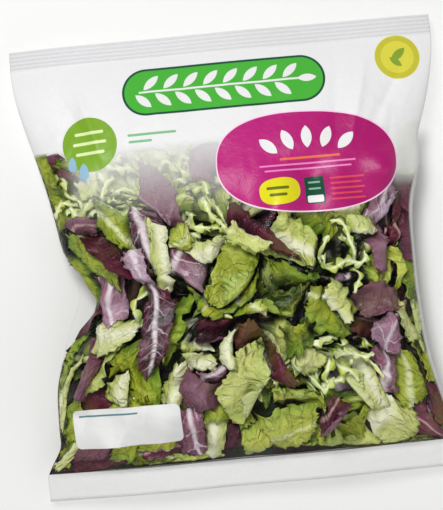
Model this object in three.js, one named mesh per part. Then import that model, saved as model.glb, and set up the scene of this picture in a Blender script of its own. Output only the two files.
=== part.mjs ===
// A sealed pillow bag of mixed salad leaves, lying on its back with its front face up.
// Millimetres, +Z up. X runs across the bag and +Y runs along it, to the crimped top seal.
// The origin is the middle of the underside of the bag's box.
import * as THREE from "three";

// Flat film between the two side folds, and the length from seal edge to seal edge
const FLAT_WIDTH = 280;
const LENGTH = 300;
const TOP_SEAL = 13;
const BOTTOM_SEAL = 17;

// Filled body
const THICKNESS = 78;
const FRONT_SHARE = 0.67;
const BACK_SHARE = 0.46;
const SIDE_RISE = 26;
const SEAL_RISE = 21;
const CORNER_DROOP = 8;
const FIN_DROOP = 4;
const FIN_WAVE = 1.6;
const FIN_WAVE_LENGTH = 118;

// Two sheets of film pressed together, drawn thick enough to be a solid
const SEAL_THICKNESS = 1.2;
const CRIMP_PITCH = 2.6;
const CRIMP_DEPTH = 0.5;

// How far each side is drawn in at the waist, and where it is dented (+) or bulges (-)
const LEFT_WAIST = 24;
const RIGHT_WAIST = 25;
const LEFT_DENTS = [
  { y: -13, reach: 20, depth: 9.5 },
  { y: -75, reach: 26, depth: -6.5 },
  { y: -115, reach: 9, depth: 3.5 },
];
const RIGHT_DENTS = [
  { y: 50, reach: 16, depth: -2.5 },
  { y: 70, reach: 12, depth: 1.5 },
];

// The crumple at the left waist, as two grooves in the front face
const WAIST_GROOVES = [
  { from: [-116, -8], to: [-58, -24], depth: -8, width: 7 },
  { from: [-98, -6], to: [-110, -52], depth: -5, width: 5 },
];

// Film gathers that run into the body from each seal, and the creases at the side folds
const SEAL_GATHERS = 11;
const SIDE_CREASES = 7;

// Leaves pressing outwards
const BULGE_WAVES = 7;
const BULGE_HEIGHT = 1.5;
const LONGEST_BULGE = 92;
const FILL_LINE = 78;
const FILL_FADE = 34;

// Mesh
const CELLS_ACROSS = 40;
const CELLS_ALONG = 40;
const ROWS_BOTTOM_SEAL = 2;

const BODY_LOW = -LENGTH / 2 + BOTTOM_SEAL;
const BODY_HIGH = LENGTH / 2 - TOP_SEAL;
const BODY_MIDDLE = (BODY_LOW + BODY_HIGH) / 2;
const BODY_HALF = (BODY_HIGH - BODY_LOW) / 2;
const GOLDEN_RATIO = 0.61803398875;
const GOLDEN_ANGLE = 2.39996323;

const clamp01 = (x) => Math.min(1, Math.max(0, x));
const smooth = (x) => x * x * (3 - 2 * x);
const mix = (a, b, t) => a + (b - a) * t;

// The fractional part of a golden-ratio multiple, an even spread of values from 0 to 1
const spread = (index, salt) => {
  const value = (index + 1) * GOLDEN_RATIO + salt;
  return value - Math.floor(value);
};

// Place along the body: -1 at the bottom seal, 1 at the top seal
const along = (y) => Math.max(-1, Math.min(1, (y - BODY_MIDDLE) / BODY_HALF));

// Share of the waist reached at s: slow from the top seal, full over the heavy lower half
const waistShare = (s) => (s > 0 ? (1 - s * s) ** 1.8 : 1 - Math.abs(s) ** 3);

// Half width of one side at height y
function halfWidth(y, waist, dents) {
  const s = along(y);
  const dented = dents.reduce(
    (sum, dent) => sum + dent.depth * Math.exp(-(((y - dent.y) / dent.reach) ** 2)),
    0,
  );
  return FLAT_WIDTH / 2 - waist * waistShare(s) - dented * (1 - s ** 8);
}

// Thickness of the filled bag as shares of its greatest, across and along
const acrossShare = (u) => (1 - Math.abs(u) ** 2.4) ** 0.62;
function alongShare(s) {
  const shifted = s + 0.12 * (1 - s * s);
  return shifted < 0
    ? (1 - Math.abs(shifted) ** 2.4) ** 0.72
    : (1 - shifted ** 1.9) ** 0.95;
}

// Height of the fold line and of both seal fins
function foldHeight(u, y) {
  const s = along(y);
  const pastSeal = Math.max(0, Math.abs(y - BODY_MIDDLE) - BODY_HALF);
  const fin = smooth(Math.abs(s) ** 6);
  const wave = FIN_WAVE * Math.sin((2 * Math.PI * u * FLAT_WIDTH) / 2 / FIN_WAVE_LENGTH + Math.sign(s));
  const corner = CORNER_DROOP * Math.abs(u) ** 3;
  const droop = (FIN_DROOP * pastSeal) / BOTTOM_SEAL;
  return mix(SIDE_RISE, SEAL_RISE, Math.abs(s) ** 3) + fin * (wave - corner) - droop;
}

// A crease: a sharp ridge or groove along a line, nothing at its ends
function creaseHeight(x, y, crease) {
  const [x0, y0] = crease.from;
  const [x1, y1] = crease.to;
  const length = Math.hypot(x1 - x0, y1 - y0);
  const way = [(x1 - x0) / length, (y1 - y0) / length];
  const run = ((x - x0) * way[0] + (y - y0) * way[1]) / length;
  const aside = Math.abs((y - y0) * way[0] - (x - x0) * way[1]);
  const fade = Math.sin(Math.PI * clamp01(run) ** 0.7);
  return crease.depth * fade * Math.exp(-aside / crease.width);
}

// Gathers fan out from the seal at end (1 top, -1 bottom), alternately ridge and groove
function sealGathers(end, salt) {
  const sealY = end > 0 ? BODY_HIGH : BODY_LOW;
  return Array.from({ length: SEAL_GATHERS }, (_, i) => {
    const place = (i + 0.25 + 0.5 * spread(i, salt)) / SEAL_GATHERS;
    const x = mix(-0.98, 0.98, place) * (FLAT_WIDTH / 2);
    const corner = Math.abs(x / (FLAT_WIDTH / 2)) ** 3;
    const reach = mix(32, 74, spread(i, salt + 0.31)) + 34 * corner;
    const depth = mix(1.4, 3.4, spread(i, salt + 0.57)) + 2.2 * corner;
    return {
      from: [x, sealY],
      to: [x * mix(0.9, 0.62, corner), sealY - end * reach],
      depth: i % 2 ? depth : -depth,
      width: mix(3.5, 6.5, spread(i, salt + 0.83)),
    };
  });
}

// Creases that run in from the fold at side (-1 left, 1 right)
function sideCreases(side, salt) {
  const [waist, dents] = side < 0 ? [LEFT_WAIST, LEFT_DENTS] : [RIGHT_WAIST, RIGHT_DENTS];
  return Array.from({ length: SIDE_CREASES }, (_, i) => {
    const place = (i + 0.2 + 0.6 * spread(i, salt)) / SIDE_CREASES;
    const y = mix(BODY_LOW + 22, BODY_HIGH - 18, place);
    const x = side * halfWidth(y, waist, dents);
    const reach = mix(20, 46, spread(i, salt + 0.41));
    const slant = mix(-16, 16, spread(i, salt + 0.77));
    return {
      from: [x, y],
      to: [x - side * reach, y + slant],
      depth: (i % 2 ? 1 : -1) * mix(1.2, 2.8, spread(i, salt + 0.19)),
      width: mix(3, 5.5, spread(i, salt + 0.53)),
    };
  });
}

const FRONT_CREASES = [
  ...sealGathers(1, 0.12),
  ...sealGathers(-1, 0.47),
  ...sideCreases(-1, 0.05),
  ...sideCreases(1, 0.66),
  ...WAIST_GROOVES,
];
const BACK_CREASES = [
  ...sealGathers(1, 0.71),
  ...sealGathers(-1, 0.93),
  ...sideCreases(-1, 0.29),
  ...sideCreases(1, 0.38),
];

// Soft bulges of the leaves under the film, only as high as the bag is filled
function bulge(x, y, salt) {
  let height = 0;
  for (let i = 0; i < BULGE_WAVES; i++) {
    const wave = LONGEST_BULGE / (1 + 0.32 * i);
    const angle = (i + salt) * GOLDEN_ANGLE;
    const phase = 2 * Math.PI * spread(i, salt);
    height += Math.sin((2 * Math.PI * (x * Math.cos(angle) + y * Math.sin(angle))) / wave + phase);
  }
  const filled = smooth(clamp01((FILL_LINE - y) / FILL_FADE));
  return BULGE_HEIGHT * height * filled;
}

// Ridges pressed across the top seal
const crimp = (y) =>
  y > BODY_HIGH ? CRIMP_DEPTH * Math.cos((2 * Math.PI * (y - BODY_HIGH)) / CRIMP_PITCH) : 0;

// A point of the front (face 1) or back (face -1) sheet at u across and height y
function filmPoint(u, y, face) {
  const s = along(y);
  const left = -halfWidth(y, LEFT_WAIST, LEFT_DENTS);
  const right = halfWidth(y, RIGHT_WAIST, RIGHT_DENTS);
  const x = mix(left, right, (u + 1) / 2);
  const swell = acrossShare(u) * alongShare(s);
  const free = smooth(clamp01(swell / 0.35));
  const creases = face > 0 ? FRONT_CREASES : BACK_CREASES;
  const relief =
    creases.reduce((sum, crease) => sum + creaseHeight(x, y, crease), 0) +
    bulge(x, y, face > 0 ? 0.4 : 2.9);
  const share = face > 0 ? FRONT_SHARE : BACK_SHARE;
  const out = THICKNESS * swell * share + free * relief + SEAL_THICKNESS / 2;
  const z = foldHeight(u, y) + crimp(y) + face * Math.max(SEAL_THICKNESS / 2, out);
  return [x, y, Math.max(0, z)];
}

// Rows of the mesh: the bottom seal, the body, closer at both ends, and each ridge of the top seal
function rowHeights() {
  const rows = [];
  for (let i = 0; i < ROWS_BOTTOM_SEAL; i++) rows.push(-LENGTH / 2 + (BOTTOM_SEAL * i) / ROWS_BOTTOM_SEAL);
  for (let i = 0; i < CELLS_ALONG; i++) {
    const even = (2 * i) / CELLS_ALONG - 1;
    rows.push(BODY_MIDDLE + BODY_HALF * mix(even, Math.sin((Math.PI / 2) * even), 0.5));
  }
  const halfPitches = Math.round((2 * TOP_SEAL) / CRIMP_PITCH);
  for (let i = 0; i <= halfPitches; i++) rows.push(BODY_HIGH + (i * TOP_SEAL) / halfPitches);
  return rows;
}

// The closed skin of the bag: both sheets, joined by a narrow strip all round
function bagGeometry() {
  const rows = rowHeights();
  const columns = Array.from({ length: CELLS_ACROSS + 1 }, (_, i) => {
    const even = (2 * i) / CELLS_ACROSS - 1;
    return mix(even, Math.sin((Math.PI / 2) * even), 0.6);
  });
  const across = columns.length;
  const positions = [1, -1].flatMap((face) =>
    rows.flatMap((y) => columns.flatMap((u) => filmPoint(u, y, face))),
  );
  const at = (face, row, column) => (face > 0 ? 0 : rows.length * across) + row * across + column;
  const index = [];
  const quad = (a, b, c, d) => index.push(a, b, c, a, c, d);

  for (let row = 0; row + 1 < rows.length; row++) {
    for (let column = 0; column + 1 < across; column++) {
      const corners = (face) => [
        at(face, row, column),
        at(face, row, column + 1),
        at(face, row + 1, column + 1),
        at(face, row + 1, column),
      ];
      quad(...corners(1));
      quad(...corners(-1).reverse());
    }
    quad(at(1, row, 0), at(1, row + 1, 0), at(-1, row + 1, 0), at(-1, row, 0));
    const last = across - 1;
    quad(at(-1, row, last), at(-1, row + 1, last), at(1, row + 1, last), at(1, row, last));
  }
  const top = rows.length - 1;
  for (let column = 0; column + 1 < across; column++) {
    quad(at(-1, 0, column), at(-1, 0, column + 1), at(1, 0, column + 1), at(1, 0, column));
    quad(at(1, top, column), at(1, top, column + 1), at(-1, top, column + 1), at(-1, top, column));
  }

  const geometry = new THREE.BufferGeometry();
  geometry.setAttribute("position", new THREE.Float32BufferAttribute(positions, 3));
  geometry.setIndex(index);
  geometry.computeVertexNormals();
  return geometry;
}

const film = new THREE.MeshStandardMaterial({ color: 0xa9bb7a, roughness: 0.3, metalness: 0 });

const bag = new THREE.Mesh(bagGeometry(), film);
bag.name = "bag";

const salad = new THREE.Group();
salad.add(bag);

export default salad;
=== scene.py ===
"""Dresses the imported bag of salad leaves: clear printed film over a heap of mixed leaves, on a pale floor."""

import math
from typing import NamedTuple

import bpy
import numpy as np
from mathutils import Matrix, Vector


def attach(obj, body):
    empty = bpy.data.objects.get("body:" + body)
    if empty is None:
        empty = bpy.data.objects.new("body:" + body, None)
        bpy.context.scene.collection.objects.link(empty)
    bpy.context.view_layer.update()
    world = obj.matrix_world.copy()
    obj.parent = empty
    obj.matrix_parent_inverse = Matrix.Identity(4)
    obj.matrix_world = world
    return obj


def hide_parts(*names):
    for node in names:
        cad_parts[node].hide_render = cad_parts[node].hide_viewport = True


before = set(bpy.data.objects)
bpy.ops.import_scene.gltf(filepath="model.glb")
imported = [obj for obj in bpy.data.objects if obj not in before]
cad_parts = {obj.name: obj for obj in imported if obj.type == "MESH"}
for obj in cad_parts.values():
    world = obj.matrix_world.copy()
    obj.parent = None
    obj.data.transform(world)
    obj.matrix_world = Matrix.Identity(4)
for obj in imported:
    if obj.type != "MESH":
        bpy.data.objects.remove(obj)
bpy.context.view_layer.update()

bl_info = {
    "name": "Bag of salad leaves",
    "version": (1, 0, 0),
    "blender": (4, 5, 0),
    "location": "3D View > Sidebar > Salad",
    "description": "Printed clear film over a heap of mixed salad leaves",
    "category": "Object",
}

MM = 0.001
BAG_NODE = "bag"
BODY = "root"

# The bag's form in millimetres, as the solid has it: X across, Y along to the top seal, Z up
FLAT_WIDTH = 280.0
LENGTH = 300.0
TOP_SEAL = 13.0
BOTTOM_SEAL = 17.0
THICKNESS = 78.0
FRONT_SHARE = 0.67
BACK_SHARE = 0.46
SIDE_RISE = 26.0
SEAL_RISE = 21.0
CORNER_DROOP = 8.0
FIN_DROOP = 4.0
FIN_WAVE = 1.6
FIN_WAVE_LENGTH = 118.0
CRIMP_PITCH = 2.6
CRIMP_DEPTH = 0.5
# The swell is fullest below the middle by this share of the half length. The powers are those of its arches.
SWELL_SHIFT = 0.12
ACROSS_POWERS = (2.4, 0.62)
LOW_POWERS = (2.4, 0.72)
HIGH_POWERS = (1.9, 0.95)
# The waists, and the dents of the sides: place along, reach, depth
LEFT_WAIST = 24.0
RIGHT_WAIST = 25.0
LEFT_DENTS = ((-13.0, 20.0, 9.5), (-75.0, 26.0, -6.5), (-115.0, 9.0, 3.5))
RIGHT_DENTS = ((50.0, 16.0, -2.5), (70.0, 12.0, 1.5))
# Creases: how many, and from least to most reach, slant, depth and width. Gathers grow towards the corners.
SEAL_GATHERS = 11
GATHER_REACH = (32, 74)
GATHER_DEPTH = (1.4, 3.4)
GATHER_WIDTH = (3.5, 6.5)
CORNER_REACH = 34
CORNER_DEPTH = 2.2
SIDE_CREASES = 7
SIDE_REACH = (20, 46)
SIDE_SLANT = (-16, 16)
SIDE_DEPTH = (1.2, 2.8)
SIDE_WIDTH = (3, 5.5)
# Soft bulges of the leaves, which end above the fill line. Relief fades near the folds.
BULGE_WAVES = 7
BULGE_HEIGHT = 1.5
LONGEST_BULGE = 92.0
BULGE_SHORTENING = 0.32
FILL_LINE = 78.0
FILL_FADE = 34.0
RELIEF_FADE = 0.35
# The body between the seals
BODY_LOW = -LENGTH / 2 + BOTTOM_SEAL
BODY_HIGH = LENGTH / 2 - TOP_SEAL
BODY_MIDDLE = (BODY_LOW + BODY_HIGH) / 2
BODY_HALF = (BODY_HIGH - BODY_LOW) / 2
# Multiples of these spread values and directions evenly
GOLDEN_RATIO = 0.61803398875
GOLDEN_ANGLE = 2.39996323

# The film's mesh, its fine creases as above, and the millimetres in one unit of every map
FILM_LAYER_GAP = 0.3
FILM_COLUMNS = 150
FILM_ROWS = 150
SEAL_ROW_STEP = 0.45
FINE_CREASES = 150
FINE_SEED = 11
FINE_ACROSS = 125
FINE_LEAN = 0.55
FINE_REACH = (14, 46)
FINE_DEPTH = (0.25, 0.8)
FINE_WIDTH = (1.2, 3.2)
MAP_UNIT = 100

# The middle of the picture on the bag, measured along the picture
VIEW_CENTRE = (-11.8, 2.2)

# How the leaves lie: grids of the film and of the filled depth, and the gaps kept
LAY_COLUMNS = 140
LAY_ROWS = 150
CELL_COLUMNS = 330
CELL_ROWS = 180
ROOM_SHARE = 0.46
FILM_CLEARANCE = 0.8
LEAF_THICKNESS = 0.45
LEAF_SPACING = 0.5
# The heap's ends along the bag, how softly leaves stop at them, and the core under the leaves
HEAP_LOW = -132.5
HEAP_HIGH = 80.0
HEAP_SOFT_EDGE = 0.08
CORE_HIGH = 46.0
CORE_ROWS = 90
CORE_LEAST_DEPTH = 6
CORE_GAP = 2.5
# The empty flap beside the left waist: its middle, its reach along the bag and its reach in columns
FLAP_PLACE = -23.0
FLAP_REACH = 17.0
FLAP_COLUMNS = 11.0
# Painted light and shade in the heap: leaves above the first height and below the second keep a light colour,
# others are painted darker with depth
LIT_FROM = 28.0
LOW_LIT_FROM = -72.0
LIT_FADE = 30.0
HIGH_LIT = 0.85
LOW_LIT = 0.5
SHADED_DEPTH = 34.0
HOLLOW_SHADE_FROM = 4
HOLLOW_SHADE_REACH = 14
RELIEF_SHADE = 0.4
# Painted sheen, the film's milky glare painted into the leaves' colour: the shares that haze and contact with
# the film give, and the depths over which they fade
MIST_SHARE = 0.45
MIST_DEPTH = 12.0
CONTACT_SHARE = 0.55
CONTACT_DEPTH = 1.6
LIT_SHEEN_LOSS = 0.5
# Share of paler underside colour where a side is turned over, drawn in the same colour as the painted sheen
TURNED_PALENESS = 0.3
# Strands of the curly kind: area of heap for each, least and most length and width, and the spread of tone
STRAND_AREA = 190.0
STRAND_LENGTH = (24, 46)
STRAND_WIDTH = (5, 9)
STRAND_TONE = 0.3
STRAND_COLUMNS = 5
STRAND_ROWS = 32
TANGLE_REACH = 0.42
# Filling leaves: how far they go to the sides and ends, and from least to most length, width and painted sheen
FILL_ACROSS = 114
FILL_FROM_LOW = 10
FILL_FROM_HIGH = 16
FILL_LENGTH = (44, 78)
FILL_WIDTH = (26, 44)
FILL_SHEEN = (0, 0.5)
FILL_KINDS = ("romaine", "pale", "red", "romaine", "curly", "veined", "pale", "romaine", "red", "curly")
# Leaves at the side folds and at the bottom seal: directions, painted sheen, and distance from the seal
FOLD_TURN = (74, 106)
FOLD_SHEEN = 0.3
SEAL_TURN = (-16, 16)
SEAL_SHEEN = 0.2
SEAL_DISTANCE = 8
# Grid steps of the leaves: those placed by name, those under them and those at the back
FRONT_STEP = 1.6
FILL_STEP = 2.3
BACK_STEP = 2.9
# Phases are drawn from 0 to a full turn, in radians
FULL_TURN = 6.3
# Filled depth is marked on a grid this many times as fine as a leaf's
FINER = 3


class Crease(NamedTuple):
    """A ridge (or groove, if depth is negative) along a line on the film, in millimetres."""

    start: tuple
    end: tuple
    depth: float
    width: float


class LeafKind(NamedTuple):
    """The outline and relief of one kind of leaf, lengths in millimetres.

    cut, flap and rib are chances: to be a cut piece, to have a side turned over, to keep the rib when cut."""

    slot: str
    fullness: float
    roundness: float
    stalk: float
    lobes: float
    lobe_depth: float
    teeth: float
    ruffle_length: float
    ruffle_height: float
    fold_height: float
    crinkle_length: float
    crinkle_height: float
    cup: float
    bend: float
    cut: float
    flap: float
    rib: float


KINDS = {
    "romaine": LeafKind(
        "romaine_leaf", fullness=0.78, roundness=0.5, stalk=5, lobes=5.5, lobe_depth=0.16, teeth=2.6,
        ruffle_length=9.5, ruffle_height=5.0, fold_height=7.5, crinkle_length=8.5, crinkle_height=2.0,
        cup=4.0, bend=5, cut=0.9, flap=0.45, rib=0.3,
    ),
    "pale": LeafKind(
        "pale_leaf", fullness=0.9, roundness=0.42, stalk=12, lobes=4.5, lobe_depth=0.12, teeth=1.8,
        ruffle_length=12, ruffle_height=4.0, fold_height=7.0, crinkle_length=12, crinkle_height=1.8,
        cup=4.5, bend=4, cut=0.9, flap=0.4, rib=0.6,
    ),
    "curly": LeafKind(
        "curly_leaf", fullness=0.8, roundness=0.55, stalk=3, lobes=8, lobe_depth=0.8, teeth=1.0,
        ruffle_length=6.5, ruffle_height=3.4, fold_height=4.0, crinkle_length=9, crinkle_height=1.0,
        cup=1.5, bend=14, cut=0.0, flap=0.0, rib=1.0,
    ),
    "red": LeafKind(
        "red_leaf", fullness=0.85, roundness=0.45, stalk=4, lobes=3.5, lobe_depth=0.1, teeth=1.5,
        ruffle_length=15, ruffle_height=3.0, fold_height=5.5, crinkle_length=17, crinkle_height=1.5,
        cup=4.5, bend=4, cut=0.9, flap=0.35, rib=0.2,
    ),
    "veined": LeafKind(
        "veined_red_leaf", fullness=0.9, roundness=0.5, stalk=9, lobes=3, lobe_depth=0.1, teeth=1.5,
        ruffle_length=13, ruffle_height=4.0, fold_height=7.0, crinkle_length=11, crinkle_height=2.0,
        cup=5.0, bend=4, cut=0.85, flap=0.4, rib=1.0,
    ),
}

# Leaves seen through the front, the topmost first: kind, x, y, turn in degrees, length, width, tone, sheen.
# The turn is the way that the tip points. Tone runs from deep, at 0, to light at 1; it is partly the leaf's own
# colour and partly painted shade, and tones under 0 paint deeper shade. Sheen is how much painted milky glare
# of the film lies on the leaf, from 0 upwards.
FRONT_LEAVES = (
    ("veined", -63, -42, -80, 60, 20, -0.25, 0.0),
    ("veined", -65, -8, -90, 42, 15, 0.5, 0.7),
    ("pale", -53, 2, -99, 52, 13, 1.0, 0.6),
    ("pale", 5, 11, -40, 27, 17, 0.55, 0.25),
    ("romaine", -2, -6, 47, 49, 35, 1.0, 0.25),
    ("romaine", -11, -18, 30, 46, 28, 0.25, 0.05),
    ("red", 14, 16, -48, 52, 13, 0.05, 0.05),
    ("pale", -11, -57, 81, 23, 6, 0.5, 0.1),
    ("pale", -3, -83, 53, 47, 33, 0.6, 0.45),
    ("red", 10, -65, -57, 52, 16, 0.05, 0.05),
    ("red", -12, -45, 0, 42, 19, 0.15, 0.0),
    ("red", -32, -87, -41, 37, 23, 0.65, 0.75),
    ("veined", -24, -73, 25, 18, 9, 0.3, 0.2),
    ("pale", -32, -66, 5, 22, 14, 1.0, 0.8),
    ("curly", 67, -1, -85, 41, 19, 0.33, 0.1),
    ("pale", 38, 10, -20, 38, 29, 0.28, 0.15),
    ("romaine", 52, 17, -45, 26, 15, -0.07, 0.05),
    ("pale", 83, 18, 0, 26, 13, 0.68, 0.5),
    ("romaine", 83, 11, 9, 23, 9, -0.15, 0.0),
    ("pale", 62, -34, -40, 27, 14, 0.23, 0.3),
    ("romaine", 54, -42, 155, 37, 26, 0.08, 0.2),
    ("romaine", 6, -36, -45, 20, 15, 0.9, 0.1),
    ("romaine", 19, -29, -10, 40, 27, -0.17, 0.0),
    ("romaine", 33, -13, -15, 33, 20, -0.2, 0.0),
    ("romaine", 37, -49, 5, 37, 22, 0.08, 0.05),
    ("pale", 15, -55, -55, 33, 23, 0.7, 0.5),
    ("red", 92, -36, 13, 31, 20, 0.6, 0.8),
    ("red", 75, -36, -15, 23, 18, -0.1, 0.0),
    ("veined", 67, -18, 65, 35, 17, -0.15, 0.0),
    ("romaine", 80, -11, -87, 37, 15, -0.3, 0.0),
    ("red", 95, -1, -75, 28, 19, 0.8, 1.2),
    ("romaine", 104, -19, -80, 33, 9, 0.8, 0.1),
    ("romaine", 96, -16, 75, 32, 25, 0.9, 0.9),
    ("red", 106, 0, -83, 28, 8, 0.15, 0.0),
    ("red", 99, 4, 65, 22, 6, 0.1, 0.0),
    ("veined", 98, 28, 55, 26, 20, 0.8, 0.7),
    ("red", 108, 22, -83, 19, 8, 0.1, 0.0),
    ("pale", 107, -48, -67, 36, 19, 1.0, 0.8),
    ("veined", 96, -56, 55, 29, 22, 0.7, 0.7),
    ("red", 79, -48, -25, 23, 17, -0.02, 0.0),
    ("romaine", -54, -45, -80, 42, 20, 1.0, 0.15),
    ("romaine", -35, -27, -41, 35, 22, -0.1, 0.1),
    ("pale", -37, -50, -45, 29, 24, 0.4, 0.3),
    ("romaine", -38, 19, 35, 22, 17, 0.85, 0.1),
    ("pale", -21, 11, 20, 26, 12, 0.8, 0.7),
    ("veined", -31, -1, 45, 31, 27, 0.6, 0.35),
    ("veined", -60, 23, -85, 29, 19, 0.0, 0.0),
    ("romaine", -79, 26, -43, 35, 19, 0.4, 0.1),
    ("red", -77, 5, -66, 42, 28, -0.1, 0.0),
    ("romaine", -100, 7, -67, 40, 28, 0.5, 0.75),
    ("veined", -88, -16, -60, 32, 22, 1.0, 0.85),
    ("pale", -90, -38, 0, 34, 24, 1.0, 1.0),
    ("red", -49, 43, -47, 38, 30, 1.0, 1.8),
    ("romaine", -37, 49, -35, 29, 19, 0.7, 0.7),
    ("red", -15, 65, 55, 26, 18, 0.9, 1.4),
    ("pale", -73, 29, 25, 19, 15, 1.0, 0.8),
    ("curly", -89, 51, -55, 19, 12, 0.7, 0.4),
    ("romaine", -106, 66, -55, 22, 10, 0.1, 0.0),
    ("red", -114, 71, -75, 22, 15, 0.5, 0.5),
    ("pale", -97, 58, 15, 22, 17, 0.6, 0.5),
    ("red", -104, 27, 5, 22, 13, 0.6, 0.85),
    ("curly", -101, 44, -5, 36, 26, 0.9, 0.4),
    ("curly", -64, 56, 80, 47, 28, 1.0, 0.5),
    ("curly", -31, 62, 0, 45, 29, 1.0, 0.5),
    ("curly", -19, 27, 15, 35, 26, 0.9, 0.4),
    ("curly", -81, 46, 5, 38, 28, 0.9, 0.4),
    ("pale", -52, 63, 65, 38, 28, 1.0, 0.6),
    ("pale", -27, 54, 15, 38, 28, 1.0, 0.6),
    ("pale", -76, 51, 40, 36, 26, 1.0, 0.6),
    ("red", -110, -62, 77, 40, 15, 0.6, 0.7),
    ("pale", -98, -63, -90, 38, 17, 0.7, 0.4),
    ("pale", -86, -78, 75, 23, 18, 0.65, 0.3),
    ("romaine", -77, -68, -30, 41, 28, 0.35, 0.0),
    ("pale", -53, -77, 65, 29, 19, 0.5, 0.4),
    ("veined", -39, -113, -81, 32, 18, 0.4, 0.3),
    ("romaine", -19, -107, -25, 31, 15, 0.7, 0.4),
    ("pale", -26, -119, -90, 27, 16, 1.0, 0.8),
    ("romaine", -120, -91, 80, 40, 14, 0.5, 0.1),
    ("romaine", -62, -117, 0, 32, 10, 0.4, 0.1),
    ("red", -59, -124, -1, 31, 12, 0.5, 0.3),
    ("romaine", -83, -121, 5, 28, 14, 0.45, 0.3),
    ("red", -105, -120, 3, 35, 17, 0.55, 0.45),
    ("pale", -123, -118, 55, 27, 13, 0.9, 0.7),
    ("romaine", 23, -115, 15, 35, 28, 1.0, 0.6),
    ("romaine", 1, -119, 35, 26, 20, 1.0, 0.6),
    ("romaine", 30, -96, -10, 33, 22, 1.0, 0.6),
    ("pale", 32, -70, -45, 32, 24, 1.0, 0.7),
    ("curly", 35, -81, 5, 32, 19, 0.8, 0.3),
    ("curly", 58, -71, 25, 45, 32, 0.8, 0.4),
    ("red", 52, -109, 35, 38, 18, 0.4, 0.3),
    ("pale", 73, -90, -65, 42, 28, 0.8, 0.5),
    ("romaine", 59, -123, 5, 42, 26, 0.5, 0.3),
    ("veined", 90, -81, 70, 38, 23, 0.4, 0.4),
    ("romaine", 105, -88, 79, 38, 23, 0.4, 0.3),
    ("pale", 91, -115, 35, 38, 26, 0.7, 0.5),
    ("red", 109, -117, -65, 36, 23, 0.4, 0.4),
    ("curly", -41, 57, -25, 51, 32, 1.0, 0.4),
    ("curly", -58, 69, 25, 38, 19, 1.0, 0.5),
    ("curly", -22, 67, 75, 32, 19, 1.0, 0.5),
    ("pale", -61, 59, 25, 58, 42, 1.0, 0.6),
    ("pale", -33, 57, -25, 58, 42, 1.0, 0.6),
    ("pale", -14, 45, 55, 51, 38, 0.9, 0.5),
    ("pale", -85, 48, 65, 51, 38, 0.5, 0.4),
    ("romaine", -47, 48, -5, 58, 38, 0.9, 0.5),
    ("pale", 10, 43, 5, 58, 38, 0.8, 0.5),
    ("pale", 55, 35, 5, 58, 38, 0.7, 0.4),
    ("romaine", 93, 35, 75, 58, 38, 0.5, 0.4),
)
# Leaves under those that lap round the side folds: kind, y, length, width, tone
LEFT_FOLD_LEAVES = (
    ("romaine", 66, 46, 34, 0.0),
    ("romaine", 38, 44, 30, 0.0),
    ("romaine", 8, 46, 32, 0.3),
    ("red", -20, 44, 30, 0.5),
    ("romaine", -48, 46, 32, 0.4),
    ("pale", -76, 44, 34, 0.5),
    ("romaine", -104, 46, 36, 0.2),
    ("red", -124, 34, 30, 0.3),
)
RIGHT_FOLD_LEAVES = (
    ("pale", 66, 46, 34, 0.5),
    ("red", 38, 44, 34, 0.3),
    ("red", 12, 50, 30, 0.1),
    ("romaine", -14, 46, 32, 0.3),
    ("pale", -42, 44, 34, 0.6),
    ("romaine", -70, 46, 34, 0.3),
    ("red", -98, 44, 34, 0.4),
    ("pale", -122, 34, 30, 0.6),
)
# Leaves under those that end at the bottom seal: kind, x, length, width, tone
SEAL_LEAVES = (
    ("red", -104, 46, 24, 0.3),
    ("romaine", -74, 44, 24, 0.2),
    ("pale", -46, 40, 24, 0.5),
    ("red", -18, 40, 22, 0.3),
    ("romaine", 34, 46, 24, 0.4),
    ("pale", 62, 40, 24, 0.6),
    ("red", 88, 44, 24, 0.3),
    ("romaine", 114, 40, 24, 0.4),
)


def srgb(red, green, blue, alpha=1.0):
    """The linear colour of a screen colour given from 0 to 255."""
    parts = [c / 255 for c in (red, green, blue)]
    linear = [c / 12.92 if c <= 0.04045 else ((c + 0.055) / 1.055) ** 2.4 for c in parts]
    return (*linear, alpha)


def smooth(x):
    """3x squared less 2x cubed, on x held between 0 and 1."""
    x = np.clip(x, 0, 1)
    return x * x * (3 - 2 * x)


def mix(a, b, share):
    """a plus a share of the way to b."""
    return a + (b - a) * share


def spread(index, salt):
    """The fractional part of a golden-ratio multiple: evenly spread values from 0 to 1."""
    value = (index + 1) * GOLDEN_RATIO + salt
    return value - math.floor(value)


def along(y):
    """Place along the body: -1 at the bottom seal, 1 at the top seal."""
    return np.clip((y - BODY_MIDDLE) / BODY_HALF, -1, 1)


def half_width(y, waist, dents):
    """Half the flat width, less the waist's share, less one bell curve for each dent, gone at the seals.

    With s the place along, the waist's share is (1 - s^2)^1.8 above the middle and 1 - |s|^3 below it."""
    s = along(y)
    share = np.where(s > 0, (1 - s * s) ** 1.8, 1 - np.abs(s) ** 3)
    dented = sum(depth * np.exp(-(((y - place) / reach) ** 2)) for place, reach, depth in dents)
    return FLAT_WIDTH / 2 - waist * share - dented * (1 - s**8)


def arch(x, powers):
    """1 less x to the first power, and all of that to the second power."""
    inner, outer = powers
    return (1 - x**inner) ** outer


def swell_share(u, y):
    """Thickness as a share of the greatest: one arch across times one along, fuller towards the bottom."""
    s = along(y)
    shifted = s + SWELL_SHIFT * (1 - s * s)
    low = arch(np.abs(np.minimum(shifted, 0)), LOW_POWERS)
    high = arch(np.clip(shifted, 0, 1), HIGH_POWERS)
    return arch(np.abs(u), ACROSS_POWERS) * np.where(shifted < 0, low, high)


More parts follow.
